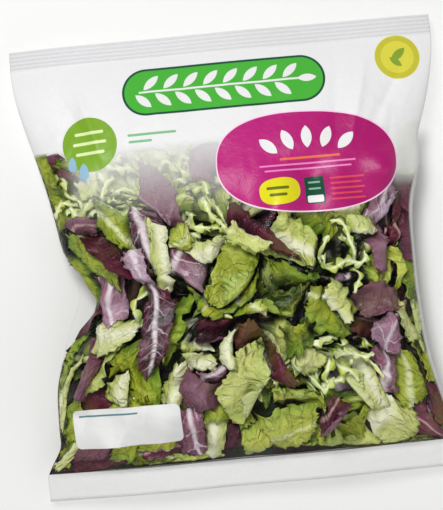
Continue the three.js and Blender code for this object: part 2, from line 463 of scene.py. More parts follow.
def fold_height(u, y):
    """Height of the side folds and seal fins: a blend by |s|^3 from side to seal, with s the place along.

    The fins add a sine across, and droop by the cube of the place across and evenly past the seal."""
    s = along(y)
    past_seal = np.maximum(0, np.abs(y - BODY_MIDDLE) - BODY_HALF)
    wave = FIN_WAVE * np.sin(math.pi * u * FLAT_WIDTH / FIN_WAVE_LENGTH + np.sign(s))
    corner = CORNER_DROOP * np.abs(u) ** 3
    droop = FIN_DROOP * past_seal / BOTTOM_SEAL
    return mix(SIDE_RISE, SEAL_RISE, np.abs(s) ** 3) + smooth(np.abs(s) ** 6) * (wave - corner) - droop


def crease_relief(x, y, creases):
    """Sum over creases of depth times exp(-distance aside / width) times a half sine along the line."""
    relief = np.zeros(np.broadcast(x, y).shape)
    for crease in creases:
        (x0, y0), (x1, y1) = crease.start, crease.end
        length = math.hypot(x1 - x0, y1 - y0)
        way_x, way_y = (x1 - x0) / length, (y1 - y0) / length
        run = np.clip(((x - x0) * way_x + (y - y0) * way_y) / length, 0, 1)
        aside = np.abs((y - y0) * way_x - (x - x0) * way_y)
        relief += crease.depth * np.sin(math.pi * run**0.7) * np.exp(-aside / crease.width)
    return relief


def seal_gathers(end, salt):
    """Gathers that fan out from the seal at end (1 top, -1 bottom), alternately ridge and groove."""
    seal_y = BODY_HIGH if end > 0 else BODY_LOW
    creases = []
    for i in range(SEAL_GATHERS):
        place = (i + 0.25 + 0.5 * spread(i, salt)) / SEAL_GATHERS
        x = mix(-0.98, 0.98, place) * FLAT_WIDTH / 2
        corner = abs(2 * x / FLAT_WIDTH) ** 3
        reach = mix(*GATHER_REACH, spread(i, salt + 0.31)) + CORNER_REACH * corner
        depth = mix(*GATHER_DEPTH, spread(i, salt + 0.57)) + CORNER_DEPTH * corner
        tip = (x * mix(0.9, 0.62, corner), seal_y - end * reach)
        width = mix(*GATHER_WIDTH, spread(i, salt + 0.83))
        creases.append(Crease((x, seal_y), tip, depth if i % 2 else -depth, width))
    return creases


def side_creases(side, salt):
    """Creases that run in from the fold at side (-1 left, 1 right), alternately ridge and groove."""
    waist, dents = (LEFT_WAIST, LEFT_DENTS) if side < 0 else (RIGHT_WAIST, RIGHT_DENTS)
    creases = []
    for i in range(SIDE_CREASES):
        place = (i + 0.2 + 0.6 * spread(i, salt)) / SIDE_CREASES
        y = mix(BODY_LOW + 22, BODY_HIGH - 18, place)
        x = side * float(half_width(y, waist, dents))
        reach = mix(*SIDE_REACH, spread(i, salt + 0.41))
        slant = mix(*SIDE_SLANT, spread(i, salt + 0.77))
        depth = (1 if i % 2 else -1) * mix(*SIDE_DEPTH, spread(i, salt + 0.19))
        width = mix(*SIDE_WIDTH, spread(i, salt + 0.53))
        creases.append(Crease((x, y), (x - side * reach, y + slant), depth, width))
    return creases


FRONT_CREASES = [
    *seal_gathers(1, 0.12),
    *seal_gathers(-1, 0.47),
    *side_creases(-1, 0.05),
    *side_creases(1, 0.66),
    # Two deep grooves at the left waist
    Crease((-116, -8), (-58, -24), -8, 7),
    Crease((-98, -6), (-110, -52), -5, 5),
]
BACK_CREASES = [
    *seal_gathers(1, 0.71),
    *seal_gathers(-1, 0.93),
    *side_creases(-1, 0.29),
    *side_creases(1, 0.38),
]


def bulge(x, y, salt):
    """Soft bulges of the leaves: sines at golden angles, shorter one by one, that end above the fill line."""
    height = 0
    for i in range(BULGE_WAVES):
        wave = LONGEST_BULGE / (1 + BULGE_SHORTENING * i)
        angle = (i + salt) * GOLDEN_ANGLE
        phase = 2 * math.pi * spread(i, salt)
        height = height + np.sin(2 * math.pi * (x * math.cos(angle) + y * math.sin(angle)) / wave + phase)
    return BULGE_HEIGHT * height * smooth((FILL_LINE - y) / FILL_FADE)


def film_points(u, y, face, extra=()):
    """Points of the front (face 1) or back (-1) sheet: the fold height plus or minus the swell and relief.

    The relief is the creases and bulges, which fade where the swell is slight. The top seal adds a cosine."""
    left = -half_width(y, LEFT_WAIST, LEFT_DENTS)
    right = half_width(y, RIGHT_WAIST, RIGHT_DENTS)
    x = mix(left, right, (u + 1) / 2)
    swell = swell_share(u, y)
    relief = crease_relief(x, y, FRONT_CREASES if face > 0 else BACK_CREASES)
    relief += bulge(x, y, 0.4 if face > 0 else 2.9) + crease_relief(x, y, extra)
    share = FRONT_SHARE if face > 0 else BACK_SHARE
    out = THICKNESS * swell * share + smooth(swell / RELIEF_FADE) * relief + FILM_LAYER_GAP / 2
    ridges = np.where(y > BODY_HIGH, CRIMP_DEPTH * np.cos(2 * math.pi * (y - BODY_HIGH) / CRIMP_PITCH), 0)
    z = fold_height(u, y) + ridges + face * np.maximum(FILM_LAYER_GAP / 2, out)
    return np.stack(np.broadcast_arrays(x, y, np.maximum(0, z)), axis=-1)


def across_shares(columns):
    """Shares across from -1 at the left fold to 1 at the right: part even and part a sine of even steps."""
    even = np.linspace(-1, 1, columns + 1)
    return mix(even, np.sin(math.pi / 2 * even), 0.6)[None, :]


def film_loop(columns, rows, extra_front=(), extra_back=()):
    """Rings of points round the bag at each row height: the front to the right, then the back to the left."""
    u = across_shares(columns)
    y = rows[:, None]
    front = film_points(u, y, 1, extra_front)
    back = film_points(u[:, ::-1], y, -1, extra_back)
    return np.concatenate([front, back], axis=1)


def fine_creases(seed):
    """Short shallow creases at seeded places, most of them slanting along the bag as pulled film does."""
    rng = np.random.default_rng(seed)
    creases = []
    for _ in range(FINE_CREASES):
        start = np.array([rng.uniform(-FINE_ACROSS, FINE_ACROSS), rng.uniform(BODY_LOW, BODY_HIGH)])
        angle = rng.normal(math.pi / 2, FINE_LEAN)
        reach = rng.uniform(*FINE_REACH)
        end = start + reach * np.array([math.cos(angle), math.sin(angle)])
        depth = rng.choice((-1, 1)) * rng.uniform(*FINE_DEPTH)
        creases.append(Crease(tuple(start), tuple(end), depth, rng.uniform(*FINE_WIDTH)))
    return creases


def film_rows():
    """Row heights: close together over both seals, so that the ridges show, and wider over the body."""
    low = np.linspace(-LENGTH / 2, BODY_LOW, 7)[:-1]
    body = BODY_MIDDLE + BODY_HALF * np.linspace(-1, 1, FILM_ROWS)[:-1]
    high = np.linspace(BODY_HIGH, LENGTH / 2, round(TOP_SEAL / SEAL_ROW_STEP))
    return np.concatenate([low, body, high])


def quads(*corners):
    """Faces from four arrays of corner numbers."""
    return np.stack(np.broadcast_arrays(*corners), axis=-1).reshape(-1, 4)


def closed_loop_faces(rows, ring):
    """Quads of a tube of rings, and of strips that close both its ends from the front half to the back."""
    low = ring * np.arange(rows - 1)[:, None]
    high = low + ring
    column = np.arange(ring)[None, :]
    following = (column + 1) % ring
    wall = quads(low + column, low + following, high + following, high + column)
    front = np.arange(ring // 2 - 1)
    back = ring - 1 - front
    top = (rows - 1) * ring
    low_cap = quads(back, back - 1, front + 1, front)
    high_cap = top + quads(front, front + 1, back - 1, back)
    return np.concatenate([wall, low_cap, high_cap])


def thin_solid_faces(rows, columns):
    """Quads of a sheet's upper and lower grids and of the rim between them."""
    index = np.arange(rows * columns).reshape(rows, columns)
    low = index + rows * columns
    upper = quads(index[:-1, :-1], index[:-1, 1:], index[1:, 1:], index[1:, :-1])
    under = quads(low[:-1, :-1], low[1:, :-1], low[1:, 1:], low[:-1, 1:])
    rims = [
        quads(index[:-1, 0], index[1:, 0], low[1:, 0], low[:-1, 0]),
        quads(index[1:, -1], index[:-1, -1], low[:-1, -1], low[1:, -1]),
        quads(index[0, 1:], index[0, :-1], low[0, :-1], low[0, 1:]),
        quads(index[-1, :-1], index[-1, 1:], low[-1, 1:], low[-1, :-1]),
    ]
    return np.concatenate([upper, under, *rims])


def add_attribute(mesh, name, values):
    """Puts one number a point, or one colour a point, into an attribute."""
    kind, field = ("FLOAT", "value") if values.ndim == 1 else ("FLOAT_COLOR", "color")
    attribute = mesh.attributes.new(name, kind, "POINT")
    attribute.data.foreach_set(field, values.astype(np.float32).ravel())


def add_mesh(name, points_mm, faces, map_mm, **attributes):
    """A smooth-shaded mesh from arrays, with map_mm as its UV map at 100 mm a unit, and with attributes."""
    mesh = bpy.data.meshes.new(name)
    mesh.from_pydata(points_mm * MM, [], faces.tolist())
    mesh.polygons.foreach_set("use_smooth", np.ones(len(mesh.polygons), bool))
    corners = np.empty(len(mesh.loops), np.int64)
    mesh.loops.foreach_get("vertex_index", corners)
    layer = mesh.uv_layers.new(name="surface_map")
    layer.data.foreach_set("uv", (map_mm[corners] / MAP_UNIT).astype(np.float32).ravel())
    for label, values in attributes.items():
        add_attribute(mesh, label, values)
    mesh.validate()
    mesh.update()
    piece = bpy.data.objects.new(name, mesh)
    bpy.context.scene.collection.objects.link(piece)
    return piece


def place_piece(piece, material):
    """Gives a finished piece its material and its body, and hides the imported bag part that it stands in for.
    """
    piece.data.materials.append(material)
    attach(piece, BODY)
    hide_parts(BAG_NODE)


class LayingSurface:
    """The inside of the film as a surface to lay leaves under, and the depth already filled at each spot.

    A spot is a row (height y) and a column (place round the bag). Lengths round the bag are measured on the
    film."""

    def __init__(self):
        """Works out the film's points, the way inwards and the room at each, and lengths round each row."""
        self.rows_y = BODY_MIDDLE + BODY_HALF * np.linspace(-0.999, 0.999, LAY_ROWS)
        points = film_loop(LAY_COLUMNS, self.rows_y, fine_creases(FINE_SEED), fine_creases(FINE_SEED + 1))
        ring = points.shape[1]
        other = points[:, ::-1]
        self.room = ROOM_SHARE * np.abs(points[..., 2] - other[..., 2])
        down = np.gradient(points, axis=0)
        step = (np.roll(points, -2, axis=1) - np.roll(points, 2, axis=1)) / 4
        inward = -np.cross(step, down)
        inward /= np.linalg.norm(inward, axis=-1, keepdims=True)
        for _ in range(6):
            inward = (inward + np.roll(inward, 1, axis=1) + np.roll(inward, -1, axis=1)) / 3
            inward[1:-1] = (inward[:-2] + inward[1:-1] + inward[2:]) / 3
        inward /= np.linalg.norm(inward, axis=-1, keepdims=True)
        spans = np.linalg.norm(np.roll(points, -1, axis=1) - points, axis=-1)
        arc = np.concatenate([np.zeros((len(points), 1)), np.cumsum(spans, axis=1)[:, :-1]], axis=1)
        around = spans.sum(axis=1, keepdims=True)
        self.ring = ring
        self.arc = np.concatenate([arc - around, arc, arc + around], axis=1)
        self.points, self.inward = points, inward
        self.filled = np.zeros((CELL_ROWS, CELL_COLUMNS))

    def row_of(self, y):
        """Row number, with its fraction, at height y."""
        return np.clip(np.interp(y, self.rows_y, np.arange(LAY_ROWS)), 0, LAY_ROWS - 1.001)

    def start_of(self, x, y, face):
        """Column number at x on the front (face 1) or the back (face -1), at height y."""
        points = self.points[int(self.row_of(y))]
        half = self.ring // 2
        if face > 0:
            return float(np.interp(x, points[:half, 0], np.arange(half)))
        return float(np.interp(-x, -points[half:, 0], np.arange(half, self.ring)))

    def columns_at(self, rows, start_column, aside):
        """Column numbers at a length aside, measured round the film from start_column, at each row."""
        row = rows.astype(int)
        share = (rows - row)[:, None]
        arc = self.arc[row] * (1 - share) + self.arc[row + 1] * share
        whole = int(start_column) + self.ring
        begin = mix(arc[:, whole], arc[:, whole + 1], start_column - int(start_column))
        wanted = begin + aside
        before = np.clip((arc <= wanted[:, None]).sum(axis=1) - 1, 0, arc.shape[1] - 2)
        pick = np.arange(len(rows))
        low, high = arc[pick, before], arc[pick, before + 1]
        return (before + (wanted - low) / (high - low)) % self.ring

    def read(self, table, rows, columns):
        """Values of a table over rows and columns, blended between its four nearest entries."""
        row, column = rows.astype(int), columns.astype(int) % self.ring
        following = (column + 1) % self.ring
        across = (columns - columns.astype(int))[:, None]
        down = (rows - row)[:, None]
        table = table.reshape(len(table), self.ring, -1)
        upper = table[row, column] * (1 - across) + table[row, following] * across
        lower = table[row + 1, column] * (1 - across) + table[row + 1, following] * across
        return upper * (1 - down) + lower * down

    def at(self, rows, columns, depth):
        """Points at a depth under the film. Where the bag is thin the depth levels off before its middle."""
        room = self.read(self.room, rows, columns)[:, 0] + 1e-6
        held = room * (1 - np.exp(-depth / room))
        return self.read(self.points, rows, columns) + self.read(self.inward, rows, columns) * held[:, None]

    def cells(self, rows, columns):
        """Cell indices of the filled depth at rows and columns."""
        cell_row = np.clip(rows / LAY_ROWS * CELL_ROWS, 0, CELL_ROWS - 1).astype(int)
        cell_column = (columns / self.ring * CELL_COLUMNS).astype(int) % CELL_COLUMNS
        return cell_row, cell_column


def relax(depths, rounds):
    """Averages a grid with its neighbours, and never lets a point rise above where it began."""
    held = depths
    for _ in range(rounds):
        padded = np.pad(held, 1, mode="edge")
        mean = (padded[:-2, 1:-1] + padded[2:, 1:-1] + padded[1:-1, :-2] + padded[1:-1, 2:]) / 4
        held = np.maximum(depths, mix(held, mean, 0.8))
    return held


def waves(rng, travel, count, longest):
    """Mean, from 0 to 1, of sines with seeded phases, each of a shorter wave than the one before."""
    total = 0
    for i in range(count):
        angle = 2 * math.pi * travel * (1 + 0.83 * i) / longest + rng.uniform(0, FULL_TURN)
        total = total + 0.5 + 0.5 * np.sin(angle)
    return total / count


def pleats(rng, x, y, shortest, longest, count):
    """Mean of the sizes of sines in seeded directions, each bent by a slower sine: round, with creases."""
    total = 0
    for _ in range(count):
        angle, wave = rng.uniform(0, 2 * math.pi), rng.uniform(shortest, longest)
        travel = (x * math.cos(angle) + y * math.sin(angle)) / wave
        aside = (y * math.cos(angle) - x * math.sin(angle)) / (2.1 * wave)
        bent = 0.32 * np.sin(2 * math.pi * aside + rng.uniform(0, FULL_TURN))
        total = total + np.abs(np.sin(math.pi * (travel + bent) + rng.uniform(0, FULL_TURN)))
    return total / count


def cut_window(kind, rng):
    """The part of a whole leaf that a piece is: start and end from 0 to 1, left and right from -1 to 1."""
    if rng.random() > kind.cut:
        return 0.0, 1.0, -1.0, 1.0
    start, end = rng.uniform(0.05, 0.4), rng.uniform(0.78, 1.0)
    inner = rng.uniform(-0.75, -0.2) if rng.random() < kind.rib else rng.uniform(0.06, 0.3)
    return (start, end, inner, 1.0) if rng.random() < 0.5 else (start, end, -1.0, -inner)


def blade(kind, rng, length, width, step):
    """A leaf, or a piece cut from one, laid flat.

    Returns the place across and along from its middle, the relief below the film, the place on the whole leaf
    in millimetres, the share of the way to the rim and how far it is turned over. The half width is
    sin(pi t^fullness)^roundness times a lobed wave, with t from stalk to tip, plus the stalk and teeth."""
    start, end, left, right = cut_window(kind, rng)
    u = np.linspace(0, 1, max(12, round(length / step)))[:, None]
    v = np.linspace(-1, 1, max(8, round(width / step)))[None, :]
    t = mix(start, end, u)
    rim = mix(left, right, (v + 1) / 2)
    phase = 2 * math.pi * (rng.random() + 0.31 * np.sign(rim))
    body = np.sin(math.pi * np.clip(t, 0.0001, 0.9999) ** kind.fullness) ** kind.roundness
    lobe = 0.5 + 0.5 * np.cos(2 * math.pi * (kind.lobes * t + 0.35 * np.sin(10.7 * t + phase)) + phase)
    whole_width, whole_length = width * 2 / (right - left), length / (end - start)
    half = whole_width / 2 * body * (1 - kind.lobe_depth * lobe) + kind.stalk / 2 * (1 - t) ** 2 + 0.6
    # The rim is ragged, more so where slow waves swell, and the ends run along a cap of waves
    ragged = (waves(rng, u * length, 5, 21) - 0.5) * (0.4 + 1.3 * waves(rng, u * length, 2, 47))
    natural = rim * half + 2 * kind.teeth * ragged * v
    cap = kind.teeth * (waves(rng, v * width, 4, 22) - 0.5) + 0.12 * width * v * rng.uniform(-1, 1)
    lengthwise = t * whole_length + ((1 - u) ** 5 - u**5) * 2 * cap
    place = np.stack(np.broadcast_arrays(natural, lengthwise), axis=-1)
    # Towards the rim the leaf ruffles, up and down and along
    edge = np.abs(rim) ** 3 * np.abs(v)
    turn = 2 * math.pi * (t * whole_length / kind.ruffle_length + 0.5 * np.sin(7 * t + phase)) + phase
    x = natural - natural[:, v.size // 2].mean() + kind.bend * rng.uniform(-1, 1) * np.sin(math.pi * u)
    y = lengthwise - (start + end) / 2 * whole_length + 0.14 * kind.ruffle_length * np.sin(2 * turn) * edge
    relief = kind.ruffle_height * edge * (0.5 + 0.5 * np.cos(turn)) + leaf_relief(kind, rng, u, v, x, y)
    x, relief, turned = fold_over(kind, rng, x, relief, width)
    return x, y, relief - relief.min(), place, np.abs(rim) + 0 * t, turned


def leaf_relief(kind, rng, u, v, x, y):
    """Large pleats, small pleats that swell either way, and a cup that sinks or lifts the sides and ends."""
    folds = pleats(rng, x, y, 20, 44, 3)
    small = pleats(rng, x, y, 0.75 * kind.crinkle_length, 1.4 * kind.crinkle_length, 3)
    swell = rng.choice((-1, 1))
    cup = rng.uniform(0.3, 1) * (np.abs(v) ** 2.2 if rng.random() < 0.65 else 1 - np.abs(v) ** 1.5)
    tips = 0.6 * rng.uniform(0, 1) * np.abs(2 * u - 1) ** 2.5
    return kind.fold_height * folds + 1.6 * swell * kind.crinkle_height * small + kind.cup * (cup + tips)


def fold_over(kind, rng, x, relief, width):
    """Rolls what lies beyond a line near one side over towards the film: round an arc, then flat."""
    turned = np.zeros_like(x)
    if rng.random() > kind.flap:
        return x, relief, turned
    side, radius = rng.choice((-1, 1)), rng.uniform(1.6, 3.2)
    line = rng.uniform(0.12, 0.3) * width
    beyond = np.maximum(0, side * x - line)
    bend = np.minimum(beyond / radius, math.pi)
    rolled = line + radius * np.sin(bend) - np.maximum(0, beyond - math.pi * radius)
    x = np.where(beyond > 0, side * rolled, x)
    turned = smooth(bend / math.pi * 1.6 - 0.3)
    return x, relief * (1 - 0.55 * turned) - radius * (1 - np.cos(bend)), turned


def strand(kind, rng, length, width):
    """A frilled strand laid flat, given as a blade is.

    Its line turns by a slow bend and a sine. Each half is a narrow stem plus teeth, which are the size of a
    sine to a power, swept forwards and curled up and down."""
    u = np.linspace(0, 1, STRAND_ROWS)[:, None]
    v = np.linspace(-1, 1, STRAND_COLUMNS)[None, :]
    bend = rng.uniform(-2.6, 2.6) * (u - 0.5)
    heading = bend + rng.uniform(0.2, 0.9) * np.sin(rng.uniform(5, 13) * u + FULL_TURN * rng.random())
    travel = length / STRAND_ROWS
    centre_x = np.cumsum(np.sin(heading), axis=0) * travel
    centre_y = np.cumsum(np.cos(heading), axis=0) * travel
    phase = rng.uniform(0, FULL_TURN) + 1.7 * np.sign(v)
    turn = math.pi * u * length / kind.ruffle_length + phase
    teeth = np.abs(np.sin(turn)) ** 1.7
    half = 0.9 + (width / 2 - 0.9) * teeth * np.sin(math.pi * np.clip(0.06 + 0.9 * u, 0, 1)) ** 0.5
    out, ahead = v * half, 0.7 * np.abs(v) * half
    x = centre_x - centre_x.mean() + out * np.cos(heading) + ahead * np.sin(heading)
    y = centre_y - centre_y.mean() - out * np.sin(heading) + ahead * np.cos(heading)
    wave = kind.fold_height * (waves(rng, u * length, 3, 46) - 0.5)
    curl = kind.ruffle_height * np.abs(v) * teeth * np.sin(turn * 0.5 + phase)
    place = np.stack(np.broadcast_arrays(out, u * length), axis=-1)
    relief = wave + curl
    return x, y, relief - relief.min(), place, np.abs(v) + 0 * u, 0 * x


def hold_in_heap(y):
    """Heights kept between the heap's ends: as they are, then levelled off by a hyperbolic tangent."""
    middle, half = (HEAP_LOW + HEAP_HIGH) / 2, (HEAP_HIGH - HEAP_LOW) / 2
    beyond = np.abs(y - middle) / half
    straight = 1 - HEAP_SOFT_EDGE
    held = straight + HEAP_SOFT_EDGE * np.tanh((beyond - straight) / HEAP_SOFT_EDGE)
    return middle + half * np.sign(y - middle) * np.where(beyond > straight, held, beyond)


def hold_off_flap(y, columns, ring):
    """Column numbers kept off the left fold where the film lies flat and empty at the waist.

    The distance from the fold becomes the root of its square plus a bell curve's square along the bag."""
    gap = FLAP_COLUMNS * np.exp(-(((y - FLAP_PLACE) / FLAP_REACH) ** 2))
    held = np.hypot(np.minimum(columns, ring - columns), gap)
    return np.where(columns < ring / 2, held, ring - held)


def lay_leaf(surface, flat_leaf, rng, x, y, face, turn, tone, sheen):
    """Lays one leaf under the film and under every leaf laid before it, and marks the depth that it fills.

    Returns its grid's shape, its points, its map, its look (rim, tone, seed, sheen) and its relief light, a
    painted light and shade that is 1 at the top of its relief and 0 in its hollows. The painted sheen fades
    where the leaf leaves the film; the sheen channel also holds the paler underside of a turned side. Painted
    shade fades the tone to deep further down in the heap, but for the leaves at the heap's top and foot, which
    keep a painted light."""
    across, lengthwise, relief, place, rim, turned = flat_leaf
    shape = across.shape
    angle = math.radians(turn)
    aside = (lengthwise * math.cos(angle) - across * math.sin(angle)).ravel()
    height = hold_in_heap((y + lengthwise * math.sin(angle) + across * math.cos(angle)).ravel())
    rows = surface.row_of(height)
    columns = surface.columns_at(rows, surface.start_of(x, y, face), aside)
    columns = hold_off_flap(height, columns, surface.ring)
    cell_row, cell_column = surface.cells(rows, columns)
    below = surface.filled[cell_row, cell_column].reshape(shape)
    base = np.maximum(relax(below, 12), FILM_CLEARANCE)
    depth = (base + relief).ravel()
    upper = surface.at(rows, columns, depth)
    lower = surface.at(rows, columns, depth + LEAF_THICKNESS)
    mark_filled(surface, *(part.reshape(shape) for part in (rows, columns, depth)))
    contact = np.exp(-np.maximum(0, depth - FILM_CLEARANCE) / CONTACT_DEPTH)
    # Painted light: leaves at the heap's top and foot keep a light colour
    lit = HIGH_LIT * smooth((height - LIT_FROM) / LIT_FADE)
    lit = lit + LOW_LIT * smooth((LOW_LIT_FROM - height) / LIT_FADE)
    buried = base.ravel() + RELIEF_SHADE * relief.ravel()
    # Painted sheen: the film's milky glare, from haze that fades with depth and from contact; turned sides add
    # their paler underside
    misty = mix(np.exp(-buried / MIST_DEPTH), 1, lit)
    painted_sheen = sheen * (MIST_SHARE * misty + CONTACT_SHARE * contact) * (1 - LIT_SHEEN_LOSS * lit)
    sheen_and_underside = np.clip(painted_sheen + TURNED_PALENESS * turned.ravel(), 0, 1)
    # Painted shade: the tone darkens with depth in the heap and towards near-black in its hollows, but for the
    # lit leaves
    hollow_shade = smooth((buried - HOLLOW_SHADE_FROM) / HOLLOW_SHADE_REACH)
    shaded = tone * mix(np.exp(-buried / SHADED_DEPTH), 1, lit) - (1 - lit) * hollow_shade
    look = np.stack([rim.ravel(), shaded, np.full(rim.size, rng.random()), sheen_and_underside], axis=-1)
    # Relief light: painted shade that darkens each leaf's hollows against its top
    relief_light = 1 - relief.ravel() / (relief.max() + 1e-6)
    doubled = [np.concatenate([part, part]) for part in (place.reshape(-1, 2), look, relief_light)]
    return shape, np.concatenate([upper, lower]), *doubled


def mark_filled(surface, rows, columns, depth):
    """Raises the filled depth under a leaf, on a grid finer than the leaf's own so that no cell is missed."""
    fine_rows = np.linspace(0, rows.shape[0] - 1, FINER * rows.shape[0])
    fine_columns = np.linspace(0, rows.shape[1] - 1, FINER * rows.shape[1])
    turned = np.unwrap(np.unwrap(columns, period=surface.ring, axis=0), period=surface.ring, axis=1)

    def finer(grid):
        """Values blended between the grid's four nearest."""
        r0 = np.minimum(fine_rows.astype(int), grid.shape[0] - 2)
        c0 = np.minimum(fine_columns.astype(int), grid.shape[1] - 2)
        fr, fc = (fine_rows - r0)[:, None], (fine_columns - c0)[None, :]
        low = grid[r0][:, c0] * (1 - fc) + grid[r0][:, c0 + 1] * fc
        high = grid[r0 + 1][:, c0] * (1 - fc) + grid[r0 + 1][:, c0 + 1] * fc
        return (low * (1 - fr) + high * fr).ravel()

    cell_row, cell_column = surface.cells(finer(rows), finer(turned) % surface.ring)
    np.maximum.at(surface.filled, (cell_row, cell_column), finer(depth) + LEAF_THICKNESS + LEAF_SPACING)


def lay_heap(seed, fill_front, fill_back):
    """Lays the named front leaves, then seeded ones under them and all round. Returns each kind's leaves."""
    rng = np.random.default_rng(seed)
    surface = LayingSurface()
    heap = {name: [] for name in KINDS}
    for name, x, y, turn, length, width, tone, sheen in FRONT_LEAVES:
        lay_item(surface, heap, rng, name, (x, y, 1, turn), (length, width), (tone, sheen), FRONT_STEP)
    lay_border(surface, heap, rng)
    for i in range(fill_front + fill_back):
        name = FILL_KINDS[i % len(FILL_KINDS)]
        face, step = (1, FILL_STEP) if i < fill_front else (-1, BACK_STEP)
        x = mix(-FILL_ACROSS, FILL_ACROSS, spread(3 * i, 0.53))
        y = mix(HEAP_LOW + FILL_FROM_LOW, HEAP_HIGH - FILL_FROM_HIGH, spread(i, 0.17))
        size = rng.uniform(*FILL_LENGTH), rng.uniform(*FILL_WIDTH)
        look = rng.uniform(0, 1), rng.uniform(*FILL_SHEEN)
        lay_item(surface, heap, rng, name, (x, y, face, rng.uniform(0, 360)), size, look, step)
    return surface, heap


def lay_border(surface, heap, rng):
    """Lays the leaves that lap round the side folds, and those that end at the bottom seal."""
    for x, leaves in ((-FLAT_WIDTH / 2, LEFT_FOLD_LEAVES), (FLAT_WIDTH / 2, RIGHT_FOLD_LEAVES)):
        for name, y, length, width, tone in leaves:
            place = x, y, 1, rng.uniform(*FOLD_TURN)
            lay_item(surface, heap, rng, name, place, (length, width), (tone, FOLD_SHEEN), FRONT_STEP)
    for name, x, length, width, tone in SEAL_LEAVES:
        place = x, BODY_LOW + SEAL_DISTANCE, 1, rng.uniform(*SEAL_TURN)
        lay_item(surface, heap, rng, name, place, (length, width), (tone, SEAL_SHEEN), FRONT_STEP)


def lay_item(surface, heap, rng, name, place, size, look, step):
    """Lays one leaf, or for the curly kind a tangle of strands spread over the same oval at golden angles."""
    kind = KINDS[name]
    x, y, face, turn = place
    if name != "curly":
        leaf = blade(kind, rng, *size, step)
        heap[name].append(lay_leaf(surface, leaf, rng, x, y, face, turn, *look))
        return
    count = round(size[0] * size[1] / (STRAND_AREA if step == FRONT_STEP else 2 * STRAND_AREA))
    angle = math.radians(turn)
    for i in range(count):
        reach, way = TANGLE_REACH * math.sqrt((i + 0.5) / count), i * GOLDEN_ANGLE
        along_x, along_y = reach * size[0] * math.cos(way), reach * size[1] * math.sin(way)
        strand_x = x + along_x * math.cos(angle) - along_y * math.sin(angle)
        strand_y = y + along_x * math.sin(angle) + along_y * math.cos(angle)
        leaf = strand(kind, rng, rng.uniform(*STRAND_LENGTH), rng.uniform(*STRAND_WIDTH))
        tone = np.clip(look[0] + rng.uniform(-STRAND_TONE, STRAND_TONE), 0, 1)
        strand_turn = rng.uniform(0, 360)
        heap[name].append(lay_leaf(surface, leaf, rng, strand_x, strand_y, face, strand_turn, tone, look[1]))


class Board:
    """A node tree being built. Most methods add a node and return its output socket."""

    def __init__(self, tree):
        """Starts an empty board on a node tree."""
        self.tree = tree
        self.count = 0

    def add(self, kind, **settings):
        """A new node with its settings, laid out in rows."""
        node = self.tree.nodes.new(kind)
        for key, value in settings.items():
            setattr(node, key, value)
        node.location = (180 * (self.count % 14), -240 * (self.count // 14))
        self.count += 1
        return node

    def feed(self, socket, value):
        """Links a socket to another one, or sets its value."""
        if isinstance(value, bpy.types.NodeSocket):
            self.tree.links.new(value, socket)
        elif value is not None:
            socket.default_value = value

    def fed(self, kind, values, **settings):
        """A new node whose first inputs take the values in their order."""
        node = self.add(kind, **settings)
        for socket, value in zip(node.inputs, values, strict=False):
            self.feed(socket, value)
        return node

    def math(self, operation, *values, clamp=False):
        """One step of arithmetic on numbers."""
        return self.fed("ShaderNodeMath", values, operation=operation, use_clamp=clamp).outputs[0]

    def vector(self, operation, *values):
        """One step of arithmetic on vectors."""
        node = self.fed("ShaderNodeVectorMath", values, operation=operation)
        return node.outputs["Value"] if operation in ("LENGTH", "DISTANCE") else node.outputs[0]

    def combine(self, x, y, z=0.0):
        """A vector from its parts."""
        return self.fed("ShaderNodeCombineXYZ", (x, y, z)).outputs[0]

    def split(self, vector):
        """The parts of a vector."""
        return self.fed("ShaderNodeSeparateXYZ", (vector,)).outputs

    def ramp(self, value, low, high, to_low=0.0, to_high=1.0):
        """A smooth step from to_low at low to to_high at high."""
        values = (value, low, high, to_low, to_high)
        return self.fed("ShaderNodeMapRange", values, interpolation_type="SMOOTHSTEP").outputs[0]

    def blend(self, share, a, b):
        """Colour a, with a share of colour b."""
        node = self.add("ShaderNodeMix", data_type="RGBA")
        for name, value in (("Factor_Float", share), ("A_Color", a), ("B_Color", b)):
            self.feed(next(s for s in node.inputs if s.identifier == name), value)
        return next(s for s in node.outputs if s.identifier == "Result_Color")

    def noise(self, vector, scale, detail=3.0, roughness=0.5):
        """Cloudy noise, with this many waves to a unit of the vector."""
        node = self.add("ShaderNodeTexNoise")
        self.feed(node.inputs["Vector"], vector)
        for name, value in (("Scale", scale), ("Detail", detail), ("Roughness", roughness)):
            node.inputs[name].default_value = value
        return node.outputs[0]

    def cell_edges(self, vector, scale):
        """Distance to the nearest edge between the cells of a Voronoi pattern."""
        node = self.add("ShaderNodeTexVoronoi", feature="DISTANCE_TO_EDGE")
        self.feed(node.inputs["Vector"], vector)
        node.inputs["Scale"].default_value = scale
        return node.outputs[0]

    def surface_map(self):
        """Millimetres on the piece's own map."""
        node = self.add("ShaderNodeUVMap", uv_map="surface_map")
        return self.vector("MULTIPLY", node.outputs[0], (MAP_UNIT, MAP_UNIT, MAP_UNIT))

    def bump(self, height, distance, strength):
        """A normal from a height of 0 to 1, which stands for a distance in metres."""
        node = self.add("ShaderNodeBump")
        node.inputs["Strength"].default_value = strength
        node.inputs["Distance"].default_value = distance
        self.feed(node.inputs["Height"], height)
        return node.outputs[0]

    def shader(self, kind, **values):
        """A shader's output. Each value goes to the socket of its name, with spaces for underlines."""
        node = self.add(kind)
        for label, value in values.items():
            self.feed(node.inputs[label.replace("_", " ")], value)
        return node.outputs[0]

    def finish(self, surface):
        """Ends a material in its output node."""
        self.feed(self.add("ShaderNodeOutputMaterial").inputs["Surface"], surface)


def new_material(name):
    """An empty node material and its board."""
    material = bpy.data.materials.new(name)
    material.use_nodes = True
    material.node_tree.nodes.clear()
    return material, Board(material.node_tree)


